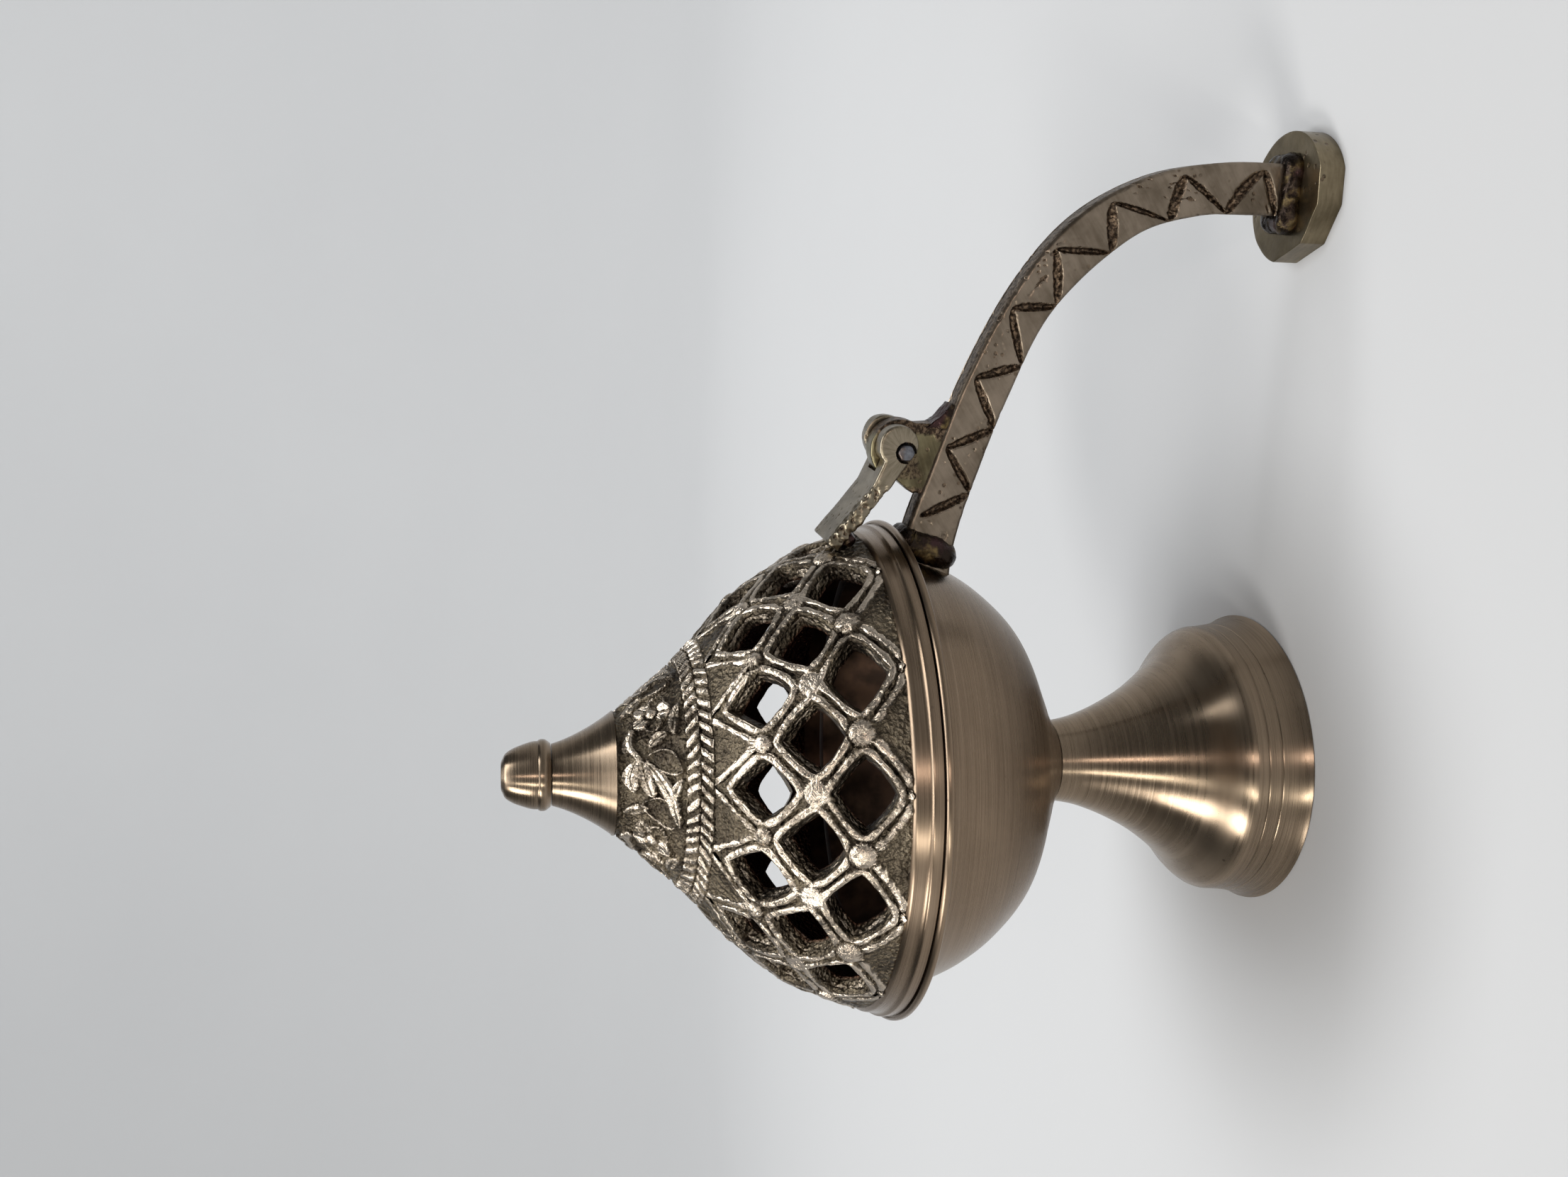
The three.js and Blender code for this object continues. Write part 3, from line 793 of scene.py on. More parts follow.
def leaf_height(u, v, start, end, width, bend, dished):
    """A raised leaf from start to end on the flat pattern, with a vein or, if dished, a hollow middle."""
    start, end = np.array(start, float), np.array(end, float)
    length = np.linalg.norm(end - start)
    along_dir = (end - start) / length
    across_dir = np.array([-along_dir[1], along_dir[0]])
    t = ((u - start[0]) * along_dir[0] + (v - start[1]) * along_dir[1]) / length
    d = (u - start[0]) * across_dir[0] + (v - start[1]) * across_dir[1]
    d = d - bend * np.sin(math.pi * np.clip(t, 0, 1))
    fullness = np.clip(t, 0, 1) * np.clip(1 - t, 0, 1) * 4
    half = width / 2 * fullness**0.62
    body = step(-0.05, 0.42, half - np.abs(d)) * (fullness > 0)
    if dished:
        return body - 0.75 * step(0.25, 0.7, half - np.abs(d))
    vein = 0.3 * np.exp(-((d / 0.2) ** 2)) * step(0.4, 0.9, half)
    return body * (0.85 + 0.3 * np.clip(d / (width / 2), -1, 1)) - vein * body


# One quarter of the floral band, flattened: x runs round the lid and y up its wall, in millimetres.
# Each leaf has its start, its end, its width, its bend and whether it is dished.
LEAVES = (
    ((-0.3, 9.9), (-7.2, 10.6), 4.2, -1.0, False),
    ((-0.6, 9.0), (-8.0, 6.6), 3.6, -0.5, False),
    ((-0.9, 8.4), (-12.8, 1.0), 3.0, 0.9, False),
    ((-0.3, 8.2), (-3.4, 0.8), 4.4, 0.6, True),
    ((-9.2, 8.8), (-12.8, 2.2), 5.2, 1.0, True),
    ((-13.4, 12.6), (-10.0, 7.6), 3.0, 0.5, False),
    ((-8.8, 3.0), (-4.4, 0.9), 2.3, 0.3, False),
    ((2.6, 2.2), (8.4, 0.9), 2.4, 0.6, False),
    ((1.4, 12.3), (5.0, 11.8), 2.4, -0.4, False),
    ((1.6, 7.6), (3.6, 3.4), 2.6, 0.4, False),
)
FLOWER = (8.6, 6.6)
PETALS = 5


def floral_height(u, v):
    """Height, 0 to about 1.3, of the leaves, the stem and the flower at a place on the flat pattern."""
    top = np.zeros_like(u)
    for start, end, width, bend, dished in LEAVES:
        top = np.maximum(top, leaf_height(u, v, start, end, width, bend, dished))
    stem_u = np.clip(u, -0.4, 6.0)
    stem_v = 9.4 + 2.1 * np.sin((stem_u + 0.4) / 6.4 * math.pi * 0.75)
    top = np.maximum(top, 0.9 * step(1.05, 0.45, np.hypot(u - stem_u, v - stem_v)))
    for i in range(PETALS):
        turn = math.radians(114 + 360 * i / PETALS)
        way = np.array([math.cos(turn), math.sin(turn)])
        near, far = np.array(FLOWER) + 1.0 * way, np.array(FLOWER) + 4.1 * way
        top = np.maximum(top, leaf_height(u, v, near, far, 4.0, 0.0, i % 2 == 1))
    reach = np.hypot(u - FLOWER[0], v - FLOWER[1])
    top = np.where(reach < 1.6, np.minimum(top, 0.15), top)
    return np.maximum(top, 1.3 * np.sqrt(np.clip(1 - (reach / 1.15) ** 2, 0, 1)))


def band_height(angle, s, flat):
    """Relief of the tick bands and the floral band, before the casting's own roughness."""
    low, line, floral, high = slope_at((NODE_Z[4], TICK_LINE_Z, FLORAL_Z, CONE_Z))
    wander = 0.35 * grain(flat, 5.0)
    phase_low = angle / 360 * TICKS_LOW - (s - low) * 0.30 + wander
    phase_high = angle / 360 * TICKS_HIGH + (s - line) * 0.27 + wander
    ticks_low = step(0.28, 0.62, 0.5 + 0.5 * np.cos(2 * math.pi * phase_low))
    ticks_high = step(0.30, 0.66, 0.5 + 0.5 * np.cos(2 * math.pi * phase_high))
    height = np.where(s < line, ticks_low, ticks_high) * 0.62 + GROUND
    turned = (angle - FLORAL_PHASE + 45) % 90 - 45
    u = np.radians(turned) * FLORAL_R * np.interp(s, [floral, high], [1.0, 0.86])
    motif = floral_height(u, s - floral)
    height = np.where(s > floral, GROUND - 0.25 + 0.95 * motif, height)
    for border, depth in ((low, 0.25), (line, 0.55), (floral, 0.6)):
        height = height - depth * np.exp(-(((s - border) / 0.2) ** 2))
    edge = step(high - 0.9, high - 0.2, s)
    return height * (1 - edge) - 0.15 * edge


def make_band(brass):
    """The two tick bands and the floral band above the lattice, up to the cone."""
    columns = 2 * EDGE_STEPS * WINDOWS
    angle = WINDOW_PHASE + np.arange(columns) * 360 / columns
    low, high = slope_at(NODE_Z[4]), slope_at(CONE_Z)
    rows = []
    for s_value in np.linspace(low, high, 84):
        s = np.full(columns, s_value)
        height = band_height(angle, s, lid_point(angle, s, 0))
        rows.append(cast_row(angle, s, np.where(s == low, -0.3, height)))
    for s_value in np.linspace(high - 2.5, low, 5):
        rows.append(inner_row(angle, np.full(columns, s_value)))
    settle_relief("lid_band", patch(rows, True, True), brass)


# ---------- handle ----------
def arm_run():
    """Points along the arm's top and underside, side by side at even steps along its middle."""
    top, under = smooth_run(ARM_TOP, 3000), smooth_run(ARM_UNDER, 3000)
    middle_line = (top + under) / 2
    s = np.concatenate([[0], np.cumsum(np.hypot(*np.diff(middle_line, axis=0).T))])
    even = np.linspace(0, s[-1], ARM_STATIONS)
    top, under = (np.stack([np.interp(even, s, run[:, k]) for k in (0, 1)], 1) for run in (top, under))
    return even, top, under


def chisel_cuts(along, share, width):
    """Depth, 0 to 1, of the zigzag of cuts at a distance along the arm and a share of the way up it."""
    deepest = np.zeros_like(along)
    y = (share - 0.5) * width
    for i in range(CUTS):
        upper = CUT_FIRST_TOP + i * CUT_TOP_PITCH
        for lower in (CUT_FIRST_LOW + (i - 1) * CUT_LOW_PITCH, CUT_FIRST_LOW + i * CUT_LOW_PITCH):
            if lower < CUT_FIRST_LOW:
                continue
            x0, y0 = upper, 0.36 * width
            x1, y1 = lower, -0.50 * width
            length = np.hypot(x1 - x0, y1 - y0)
            t = ((along - x0) * (x1 - x0) + (y - y0) * (y1 - y0)) / length**2
            d = np.abs((along - x0) * (y1 - y0) - (y - y0) * (x1 - x0)) / length
            half = CUT_HALF_W * np.clip(4 * t * (1 - t), 0, 1) ** 0.36
            deepest = np.maximum(deepest, np.clip((half - d) / CUT_HALF_W, 0, 1) * (t > 0) * (t < 1))
    return deepest


def arm_wear(flat, on_face, cut):
    """Depth of the cuts and pits over the arm, and how polished it is."""
    depth = CUT_DEPTH * step(0, 0.85, cut * (1 + 0.6 * grain(flat, 1.1)))
    near_root = step(16, 4, flat[..., 0])
    pit_zone = np.maximum(step(0.0, 0.4, grain(flat, 7.0)), np.maximum(step(0, 0.25, cut), 0.8 * near_root))
    pits = step(0.22, 0.6, grain(flat + 9.0, 0.75)) * (0.1 + 0.9 * pit_zone) * on_face
    depth = depth + 0.2 * pits + 0.1 * step(0.02, 0.3, cut) * rough(flat, 0.6)
    polish = 1 - np.clip(step(0.03, 0.3, cut) + 0.75 * pits, 0, 1)
    return depth, np.where(on_face, polish, 0.42)


def cap_ends(points, faces, polish, columns):
    """Closes both ends of a swept grid with a fan of triangles."""
    count = len(points)
    ends = [points[:columns].mean(0), points[-columns:].mean(0)]
    j = np.arange(columns)
    j2 = (j + 1) % columns
    first = [(count, b, a) for a, b in zip(j, j2)]
    last = [(count + 1, a, b) for a, b in zip(j + count - columns, j2 + count - columns)]
    return np.concatenate([points, ends]), [*faces, *first, *last], np.concatenate([polish, [0.3, 0.3]])


def make_arm(brass):
    """The curved arm: two flat faces with rounded corners, chiselled and pitted, and two rough edges."""
    s, top, under = arm_run()
    face_steps, edge_steps = 46, 14
    half_w = ARM_W / 2
    up = np.linspace(0, 1, face_steps)
    over = np.linspace(-1, 1, edge_steps + 2)[1:-1]
    # Round the arm's section: how far up it each point lies, 0 to 1, and how far across it, -1 to 1.
    share = np.concatenate([up, np.ones(edge_steps), up[::-1], np.zeros(edge_steps)])
    lateral = np.concatenate([-np.ones(face_steps), over, np.ones(face_steps), -over])
    columns = len(share)
    tall = np.linalg.norm(top - under, axis=1)[:, None]
    along, share, lateral, tall = np.broadcast_arrays(s[:, None], share, lateral, tall)
    flat = np.stack([along, lateral * half_w, share * tall], -1)
    on_face = np.abs(lateral) > 0.999
    depth, polish = arm_wear(flat, on_face, chisel_cuts(along, share, tall) * on_face)
    corner_pull = 0.45 * (1 - np.clip(np.minimum(share, 1 - share) * tall / 0.7, 0, 1)) ** 2
    y = lateral * np.where(on_face, half_w - corner_pull - depth, half_w - 0.45) + 0.05 * grain(flat, 4.0)
    drop = np.where(on_face, 0, 0.3 * lateral**4 + 0.1 * rough(flat, 1.1))
    height = (share + np.where(share > 0.5, -drop, drop) / tall)[..., None]
    section = top[:, None] * height + under[:, None] * (1 - height)
    points = np.stack([section[..., 0], y, section[..., 1]], -1).reshape(-1, 3)
    faces = grid_faces(ARM_STATIONS, columns, False, True)
    points, faces, polish = cap_ends(points, faces, polish.reshape(-1), columns)
    marks = {"polish": polish, "heat": step(60, 48, points[:, 0])}
    piece = make_piece("arm_cast", points, faces, brass, 80.0, 55, marks)
    settle(piece, "base", "handle_brass", "handle_arm")


def make_disc(brass):
    """The round rest under the handle: a thick disc with three filed flats and softened edges."""
    around = 240
    angle = full_turn(around)
    edge = np.full(around, DISC_R)
    for flat_deg, cut in ((-157, 1.5), (-120, 1.5), (-86, 0.8)):
        facing = np.cos(angle - math.radians(flat_deg))
        edge = np.minimum(edge, np.where(facing > 0.2, (DISC_R - cut) / np.maximum(facing, 0.2), DISC_R))
    # Distances from the middle are shares of the edge's radius.
    rim = soften([(0, 0), (1, 0, 0.06), (1, DISC_T, 0.07), (0, DISC_T)], 6)[1:-1]
    outline = [(0, 0), (0.5, 0), (0.8, 0), *rim, (0.8, DISC_T), (0.5, DISC_T), (0, DISC_T)]
    share, z = np.array(outline).T
    points = turned_points(angle, share * edge[:, None], z, DISC_X)
    points[:, 2] += 0.12 * grain(points, 3.5) * (points[:, 2] > DISC_T * 0.6)
    marks = {"polish": np.full(len(points), 0.85)}
    faces = grid_faces(around, len(outline), True, False)
    piece = make_piece("disc_filed", points, faces, brass, DISC_X, 40, marks)
    settle(piece, "base", "turned_brass", "handle_foot")


# ---------- hinge ----------
def prism(outline, y_low, y_high):
    """Points and faces of an outline in the XZ plane, given thickness along Y."""
    outline = np.asarray(outline, float)
    n = len(outline)
    low = np.column_stack([outline[:, 0], np.full(n, y_low), outline[:, 1]])
    high = np.column_stack([outline[:, 0], np.full(n, y_high), outline[:, 1]])
    sides = [(i, (i + 1) % n, n + (i + 1) % n, n + i) for i in range(n)]
    return np.concatenate([low, high]), [*sides, tuple(range(n))[::-1], tuple(range(n, 2 * n))]


def round_bar(x, z, radius, half_y=9.0, count=40):
    """A round bar along Y, as points and faces."""
    return prism(round_outline(x, z, radius, count), -half_y, half_y)


def round_outline(x, z, radius, count=40):
    t = full_turn(count)
    return np.column_stack([x + radius * np.cos(t), z + radius * np.sin(t)])


def scratch_object(name, solids):
    """A temporary object holding several overlapping closed solids."""
    mesh = bpy.data.meshes.new(name)
    points, faces, start = [], [], 0
    for solid_points, solid_faces in solids:
        points.extend((solid_points * MM).tolist())
        faces.extend(tuple(v + start for v in face) for face in solid_faces)
        start += len(solid_points)
    mesh.from_pydata(points, [], faces)
    weld(mesh)
    return new_object(name, mesh)


def applied(scratch):
    """The mesh of an object after its modifiers."""
    depsgraph = bpy.context.evaluated_depsgraph_get()
    return bpy.data.meshes.new_from_object(scratch.evaluated_get(depsgraph))


def discard(*objects):
    for scratch in objects:
        bpy.data.objects.remove(scratch, do_unlink=True)


def fuse(solids, voxel_mm, smoothing):
    """One even mesh round overlapping solids: points and normals, in millimetres, and faces."""
    scratch = scratch_object("scratch", solids)
    remesh = scratch.modifiers.new("remesh", "REMESH")
    remesh.mode = "VOXEL"
    remesh.voxel_size = voxel_mm * MM
    smooth = scratch.modifiers.new("smooth", "SMOOTH")
    smooth.iterations = smoothing
    smooth.factor = 0.5
    mesh = applied(scratch)
    discard(scratch)
    points = np.zeros(len(mesh.vertices) * 3)
    mesh.vertices.foreach_get("co", points)
    normals = np.zeros(len(mesh.vertices) * 3)
    mesh.vertex_normals.foreach_get("vector", normals)
    faces = [tuple(p.vertices) for p in mesh.polygons]
    return points.reshape(-1, 3) / MM, normals.reshape(-1, 3), faces


def cut_away(piece, cutters):
    """Takes temporary solids out of a finished piece, and leaves its mesh plain."""
    tool = scratch_object("tool", cutters)
    tool.location = (AXIS_X, 0, 0)
    bpy.context.view_layer.update()
    boolean = piece.modifiers.new("cut", "BOOLEAN")
    boolean.operation = "DIFFERENCE"
    boolean.solver = "EXACT"
    boolean.object = tool
    bpy.context.view_layer.update()
    mesh = applied(piece)
    piece.modifiers.clear()
    old = piece.data
    piece.data = mesh
    mesh.name = piece.name
    bpy.data.meshes.remove(old)
    discard(tool)
    finish_shading(piece.data, 45)


def make_strap(brass):
    """The strap down from the lid, forked into two knuckles, with a ragged cast edge in front."""
    strap = [(41.3, 83.1), (44.6, 80.6), (53.6, 73.8), (58.4, 70.6), (60, 74), (56.6, 76.0), (52.6, 77.7),
             (49.2, 80.3), (42.9, 85.2)]
    solids = [
        prism(strap, -STRAP_HALF_W, STRAP_HALF_W),
        prism(round_outline(PIN_X + 1.25, PIN_Z + 1.25, 3.4), -STRAP_HALF_W, -SLOT_HALF_W + 0.1),
        prism(round_outline(PIN_X + 1.6, PIN_Z + 1.5, 3.9), SLOT_HALF_W, STRAP_HALF_W),
        round_bar(PIN_X + 0.4, PIN_Z + 2.6, 2.1, STRAP_HALF_W - 0.2, 24),
    ]
    points, normals, faces = fuse(solids, 0.24, 4)
    x, y, _ = points.T
    uphill = step(54.0, 52.0, x)
    front_edge = step(-3.6, -4.9, y) * uphill
    worn = 0.45 * (0.5 * grain(points, 1.2) + 0.5 * grain(points, 0.6)) * front_edge
    worn = worn - 0.3 * step(0.1, 0.6, grain(points + 4, 1.0)) * front_edge
    back_knuckle = step(2.0, 3.0, y) * step(PIN_X - 3, PIN_X - 1, x)
    worn = worn + 0.25 * grain(points, 2.6) * back_knuckle + 0.06 * grain(points, 3.0)
    pits = step(0.58, 0.85, grain(points + 17, 0.55)) * (np.abs(normals[:, 2]) > 0.4) * uphill
    points = points + normals * (worn - 0.1 * pits)[:, None]
    polish = 1 - np.clip(0.75 * front_edge * step(-0.05, -0.3, worn) + 0.5 * pits, 0, 1)
    piece = make_piece("strap_cast", points, faces, brass, 0.0, 60, {"polish": polish})
    cut_away(piece, [round_bar(PIN_X, PIN_Z, 5.8, SLOT_HALF_W, 64)])
    cut_away(piece, [round_bar(PIN_X, PIN_Z, STRAP_HOLE_R)])
    settle(piece, "lid", "hinge_brass", "hinge_strap")


def make_lug(brass):
    """The filed lug between the knuckles, darker near its ends."""
    tongue = [(51.0, 69.6), (53.3, 72.6), (55.4, 73.0), (PIN_X + 4.6, 71.7), (63.4, 66.2), (62.9, 63.6),
              (52, 66.8)]
    base = [(50.6, 67.2), (51.4, 69.6), (63.3, 66.0), (63.2, 63.2)]
    solids = [
        prism(tongue, -LUG_HALF_W, LUG_HALF_W),
        round_bar(PIN_X, PIN_Z, 5.3, LUG_HALF_W),
        prism(base, -LUG_HALF_W - 0.1, LUG_HALF_W + 0.1),
    ]
    points, normals, faces = fuse(solids, 0.24, 5)
    points = points + normals * (0.07 * grain(points, 1.3) + 0.05 * grain(points, 3.5))[:, None]
    from_end = np.minimum(points[:, 0] - 50.8, 62.6 - points[:, 0])
    polish = 0.2 + 0.5 * step(0.2, 2.2, from_end) - 0.3 * step(0.2, 0.7, grain(points + 5, 2.2))
    piece = make_piece("lug_filed", points, faces, brass, 0.0, 60, {"polish": polish})
    cut_away(piece, [round_bar(PIN_X, PIN_Z, LUG_HOLE_R)])
    settle(piece, "base", "hinge_brass", "hinge_lug")


def make_pin(steel):
    """A plain pin with peened ends that have six faint facets, lying along Y."""
    half = PIN_HALF
    end_r = PIN_R - 0.15
    outline = soften([(0, -half), (end_r, -half, 0.25), (PIN_R, -half + 0.5, 0.2), (PIN_R, half - 0.5, 0.2),
                      (end_r, half, 0.25), (0, half)])
    around = 48
    t = full_turn(around)[:, None]
    facet = 1 - 0.035 * np.cos(6 * t) * (np.abs(outline[:, 1])[None] > half - 0.8)
    r = outline[None, :, 0] * facet
    points = np.stack([PIN_X + r * np.cos(t), np.broadcast_to(outline[None, :, 1], r.shape),
                       PIN_Z + r * np.sin(t)], -1).reshape(-1, 3)
    points[:, 1] += 0.1 * grain(points, 0.9) * (np.abs(points[:, 1]) > half - 0.05)
    faces = grid_faces(around, len(outline), True, False)
    settle(make_piece("pin_peened", points, faces, steel, PIN_X, 35), "base", "steel", "hinge_pin")


# ---------- brazed joints ----------
def resample(path, count, closed=False):
    """Evenly spaced points along straight stretches between a path's points."""
    path = np.asarray(path, float)
    if closed:
        path = np.concatenate([path, path[:1]])
    s = np.concatenate([[0], np.cumsum(np.linalg.norm(np.diff(path, axis=0), axis=1))])
    even = np.linspace(0, s[-1], count, endpoint=not closed)
    return np.stack([np.interp(even, s, path[:, k]) for k in range(3)], 1)


def worn_loop(corners):
    """An evenly spaced closed loop through corners, which it rounds off."""
    loop = resample(corners, 150, closed=True)
    for _ in range(8):
        loop = (np.roll(loop, 1, 0) + loop + np.roll(loop, -1, 0)) / 3
    return loop


def bowl_radius(z):
    curve = smooth_run(BOWL_PROFILE, 200)
    return np.interp(z, curve[:, 1], curve[:, 0])


def make_root_braze(alloy):
    """A bead round the arm where it runs into the bowl, following the bowl's surface."""
    half_w, low_z, high_z, radius = ARM_W / 2 - 0.4, 63.0, 70.0, 2.4
    loop = worn_loop([(0, -half_w, low_z), (0, -half_w, high_z), (0, half_w, high_z), (0, half_w, low_z)])
    loop[:, 0] = np.sqrt(bowl_radius(loop[:, 2]) ** 2 - loop[:, 1] ** 2) + 2.9
    settle(bead("root_braze", loop, radius, alloy, 42.0, lumps=0.35), "base", "braze", "handle_root_braze")


def make_disc_braze(alloy):
    """A lumpy fillet round the arm's foot, on the disc."""
    left, right, half_w, z, radius = 99.8, 109.5, ARM_W / 2 + 0.3, DISC_T + 0.5, 2.0
    loop = worn_loop([(left, -half_w, z), (right, -half_w, z), (right, half_w, z), (left, half_w, z)])
    settle(bead("disc_braze", loop, radius, alloy, DISC_X), "base", "braze", "handle_foot_braze")


def make_lug_braze(alloy):
    """A hollow-sided fillet behind the lug and a low bead down each side of it, on top of the arm."""
    fillet = [(62.6, 68.0), (63.7, 66.6), (64.9, 65.1), (66.9, 63.6), (66.0, 62.6), (62.4, 64.2)]
    solids = [prism(fillet, -2.2, 2.2)]
    stations, radius = 60, 0.62
    for side in (-1, 1):
        run = resample([(63.4, 1.9 * side, 64.9), (57, 2.1 * side, 67.0), (51.4, 1.9 * side, 68.6)], stations)
        solids.append(sweep(run, np.full(stations, radius), 14))
    points, normals, faces = fuse(solids, 0.2, 6)
    points = points + normals * (0.16 * rough(points, 1.2))[:, None]
    piece = make_piece("lug_braze", points, faces, alloy, 58.0, 80)
    settle(piece, "base", "braze", "hinge_lug_braze")


def make_strap_braze(alloy):
    """A dark bead under the strap's end, where it is joined to the lid."""
    run = resample([(42.9, 4.8, 81.0), (43.1, 0, 80.9), (42.9, -4.8, 81.0)], 80)
    piece = bead("strap_braze_bead", run, 1.35, alloy, 43.0, closed=False, lumps=0.5)
    settle(piece, "lid", "braze", "strap_braze")


# ---------- screw, washers and nut that hold the bowl to the foot ----------
def make_washer(node, steel):
    low, high = span(node, 2)
    outline = soften([(5, low, 0.2), (5, high, 0.2), (SCREW_HOLE_R, high, 0.1), (SCREW_HOLE_R, low, 0.1)], 4)
    settle(lathe(node + "_pressed", outline, steel, steps=96), "base", "steel", node)


def make_screw(steel):
    """A cheese-head screw with a slot, down through the bowl's floor."""
    low, high = span("bowl_screw", 2)
    seat = high - 2.4
    head = soften([(3.9, seat, 0.3), (3.9, seat + 1.3, 0.5), (2.5, high, 0.8), (0, high)])
    screw = lathe("screw_slotted", [(0, low), (1.6, low), (2, low + 0.4), (2, seat), *head], steel, steps=96)
    slot_z = high - 1.1
    cut_away(screw, [prism([(-6, slot_z), (6, slot_z), (6, high + 2), (-6, high + 2)], -0.5, 0.5)])
    settle(screw, "base", "steel", "bowl_screw")


def make_nut(steel):
    """A hexagon nut with chamfered ends, from rings whose radius is fixed or, where None, the hexagon's."""
    low, high = span("foot_nut", 2)
    around, across_flats, chamfer, face_r = 96, 7.0, 0.4, 3.4
    angle = full_turn(around)
    hexagon = across_flats / 2 / np.cos((angle + math.pi / 6) % (math.pi / 3) - math.pi / 6)
    rings = [(SCREW_HOLE_R, low), (face_r, low), (None, low + chamfer), (None, high - chamfer),
             (face_r, high), (SCREW_HOLE_R, high)]
    radius = np.stack([hexagon if r is None else np.full(around, r) for r, _ in rings], 1)
    nut = turned_points(angle, radius, [z for _, z in rings])
    faces = grid_faces(around, len(rings), True, True)
    settle(make_piece("nut_hex", nut, faces, steel, 0, 30), "base", "steel", "foot_nut")


# ---------- camera, floor and light ----------
def make_camera():
    """The photograph was taken with the camera on its side, so the object's up points to image left."""
    place_m = Vector((0.0585, -0.23679, 0.14141))
    yaw, pitch, roll = (math.radians(a) for a in (-14.243, 11.613, -0.189))
    forward = Vector((math.sin(yaw) * math.cos(pitch), math.cos(yaw) * math.cos(pitch), -math.sin(pitch)))
    level = Vector((math.cos(yaw), -math.sin(yaw), 0))
    above = level.cross(forward)
    right = math.cos(roll) * level + math.sin(roll) * above
    up = math.cos(roll) * above - math.sin(roll) * level
    data = bpy.data.cameras.new("camera")
    data.lens = 32.64
    data.sensor_width = 36
    data.sensor_fit = "HORIZONTAL"
    data.clip_start = 0.01
    camera = new_object("camera", data)
    axes = Matrix((-up, right, -forward)).transposed().to_4x4()
    camera.matrix_world = Matrix.Translation(place_m) @ axes
    bpy.context.scene.camera = camera


def make_floor():
    """A round pale sweep: a flat floor whose edge curves up into a wall all round."""
    flat_r, bend_r, wall_z, around = 750, 750, 900, 96
    turn = np.linspace(0, math.pi / 2, 14)
    bend = np.column_stack([flat_r + bend_r * np.sin(turn), bend_r * (1 - np.cos(turn))])
    profile = np.array([(0, 0), (300, 0), *bend, (flat_r + bend_r, wall_z)])
    points = turned_points(full_turn(around), profile[:, 0], profile[:, 1]) * MM
    mesh = bpy.data.meshes.new("floor")
    mesh.from_pydata(points.tolist(), [], grid_faces(around, len(profile), True, False).tolist())
    mesh.polygons.foreach_set("use_smooth", np.ones(len(mesh.polygons), bool))
    floor = new_object("floor", mesh)
    material, tree, shader = new_material("floor_paper")
    paper = blend(noise(place(tree), 3.0, 3.0), (0.44, 0.442, 0.445, 1), (0.475, 0.477, 0.478, 1))
    feed(shader.inputs["Base Color"], paper)
    shader.inputs["Roughness"].default_value = 0.9
    shader.inputs["Specular IOR Level"].default_value = 0.2
    mesh.materials.append(material)


def make_lamp(name, position, aim, size, power, colour):
    """A rectangular area lamp that the camera doesn't see."""
    data = bpy.data.lights.new(name, "AREA")
    data.shape = "RECTANGLE"
    data.size, data.size_y = size
    data.energy = power
    data.color = colour
    lamp = new_object(name, data)
    lamp.location = position
    lamp.rotation_euler = (Vector(aim) - Vector(position)).to_track_quat("-Z", "Y").to_euler()
    lamp.visible_camera = False


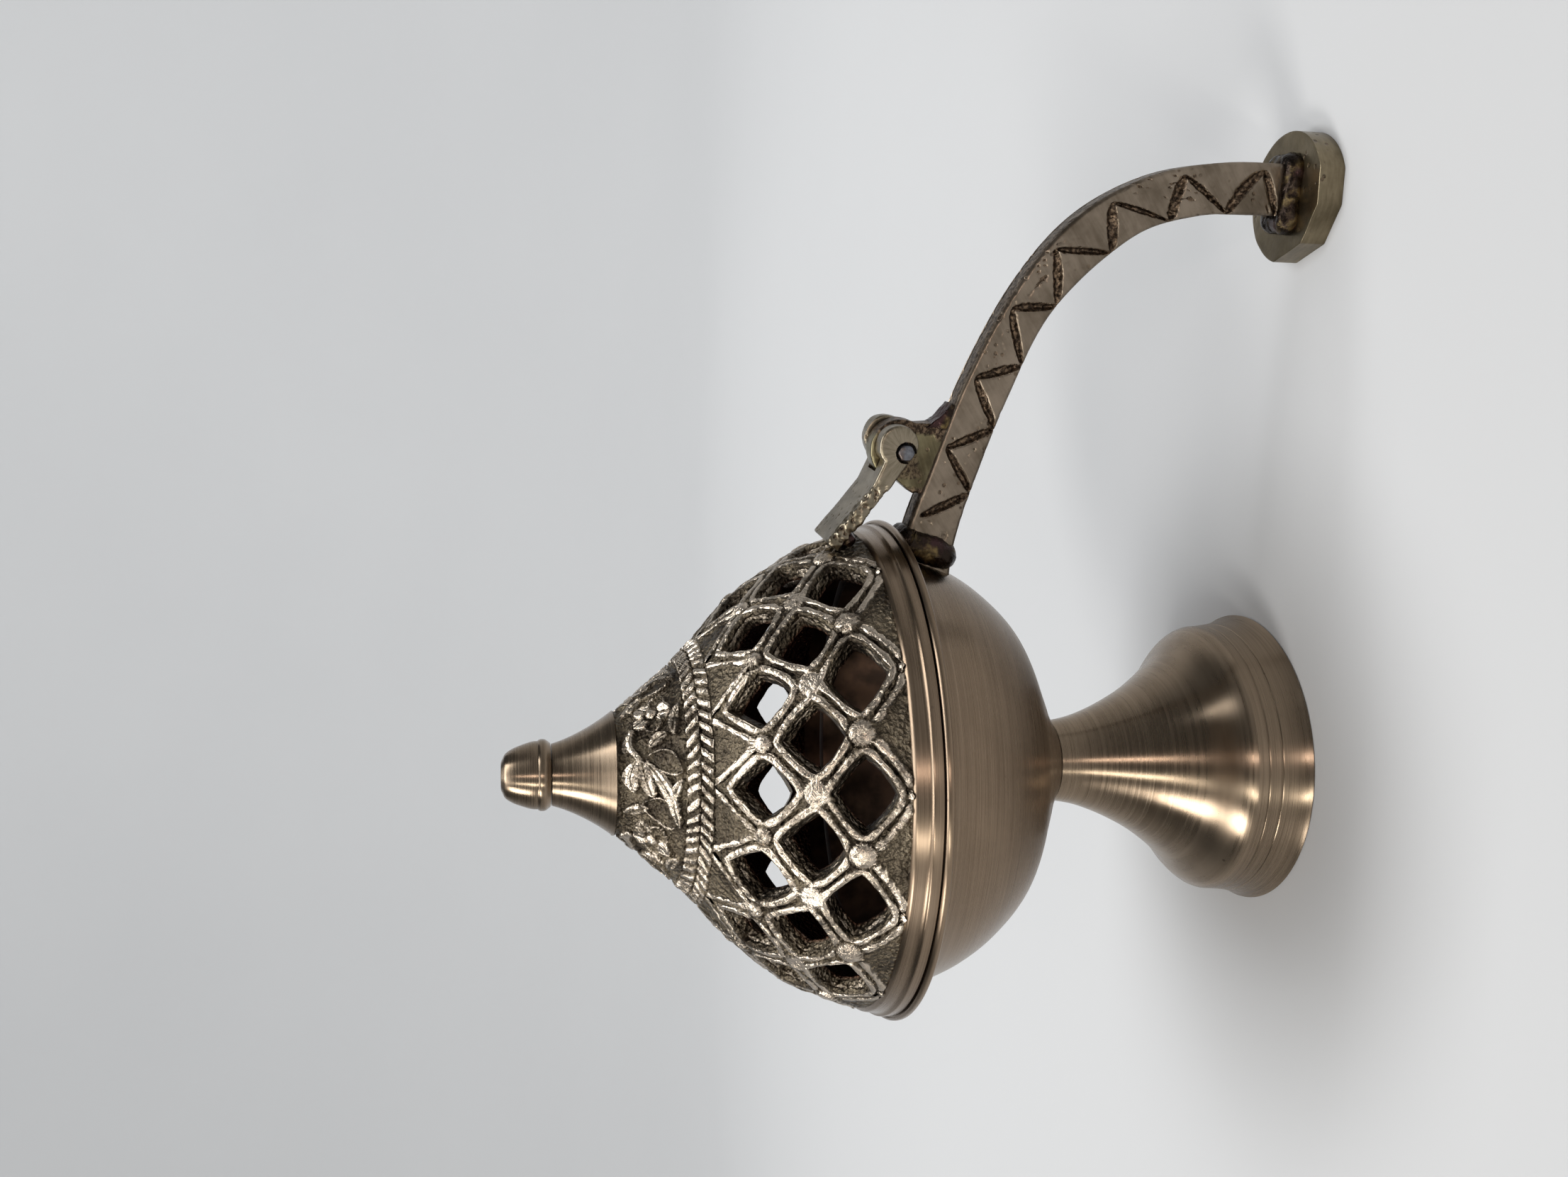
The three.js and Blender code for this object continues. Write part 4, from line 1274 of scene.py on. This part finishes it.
def make_lights():
    """A window at the left, two strips that streak the turned brass, and soft fill from above."""
    middle_point = (AXIS_X, 0, 0.07)
    make_lamp("window", (-0.75, -0.60, 0.85), middle_point, (0.28, 0.38), 7.5, (1.0, 0.985, 0.96))
    make_lamp("strip_white", (-0.185, -0.70, 0.345), middle_point, (0.05, 0.51), 1.45, (1.0, 0.98, 0.92))
    make_lamp("strip_pink", (0.187, -0.685, 0.345), middle_point, (0.03, 0.51), 0.77, (1.0, 0.86, 0.80))
    make_lamp("backdrop_fill", (0.1, 0.25, 1.2), (0.0, 1.1, 0.2), (0.9, 0.9), 20, (0.97, 0.985, 1.0))
    make_lamp("top_soft", (-0.25, -0.15, 1.1), middle_point, (0.5, 0.5), 2.2, (1.0, 1.0, 1.0))
    world = bpy.data.worlds.new("world")
    world.use_nodes = True
    world.node_tree.nodes["Background"].inputs[0].default_value = (0.9, 0.95, 1.0, 1)
    world.node_tree.nodes["Background"].inputs[1].default_value = 0.12
    bpy.context.scene.world = world
    bpy.context.scene.view_settings.view_transform = "Standard"


def make_everything():
    brass = turned_brass("turned_brass", (0.33, 0.252, 0.178, 1), (0.19, 0.14, 0.095, 1))
    # Painted shade: a darker copy of the turned brass for the bowl and lid rim, standing in for their dimmer
    # reflections.
    brass_painted_darker = turned_brass("turned_brass_painted_darker", (0.295, 0.219, 0.153, 1), (0.165, 0.118, 0.079, 1))
    relief = cast_brass("cast_brass")
    handle = filed_brass("handle_brass", (0.26, 0.21, 0.16, 1), (0.125, 0.098, 0.07, 1),
                         lambda at: strokes_along(at, (90, 900, 900), 35))
    disc = filed_brass("disc_brass", (0.24, 0.195, 0.125, 1), (0.12, 0.095, 0.058, 1),
                       lambda at: strokes_along(at, (200, 200, 1200), 0))
    lug = filed_brass("lug_brass", (0.2, 0.172, 0.1, 1), (0.07, 0.056, 0.032, 1),
                      lambda at: strokes_along(at, (110, 300, 1000), 20))
    hinge = filed_brass("hinge_brass", (0.27, 0.23, 0.17, 1), (0.13, 0.108, 0.072, 1),
                        lambda at: strokes_round(at, PIN_X, PIN_Z), 0.55, (0.035, 0.5))
    alloy = braze_alloy("braze")
    steel = worn_steel("steel")
    make_foot(brass)
    make_bowl(brass_painted_darker)
    make_washer("bowl_washer", steel)
    make_washer("foot_washer", steel)
    make_screw(steel)
    make_nut(steel)
    make_lid_rim(brass_painted_darker)
    make_lattice(relief)
    make_band(relief)
    make_lid_cone(brass)
    make_finial(brass)
    make_arm(handle)
    make_disc(disc)
    make_strap(hinge)
    make_lug(lug)
    make_pin(steel)
    make_root_braze(alloy)
    make_disc_braze(alloy)
    make_lug_braze(alloy)
    make_strap_braze(alloy)


make_camera()
make_floor()
make_lights()
make_everything()

bpy.context.view_layer.update()
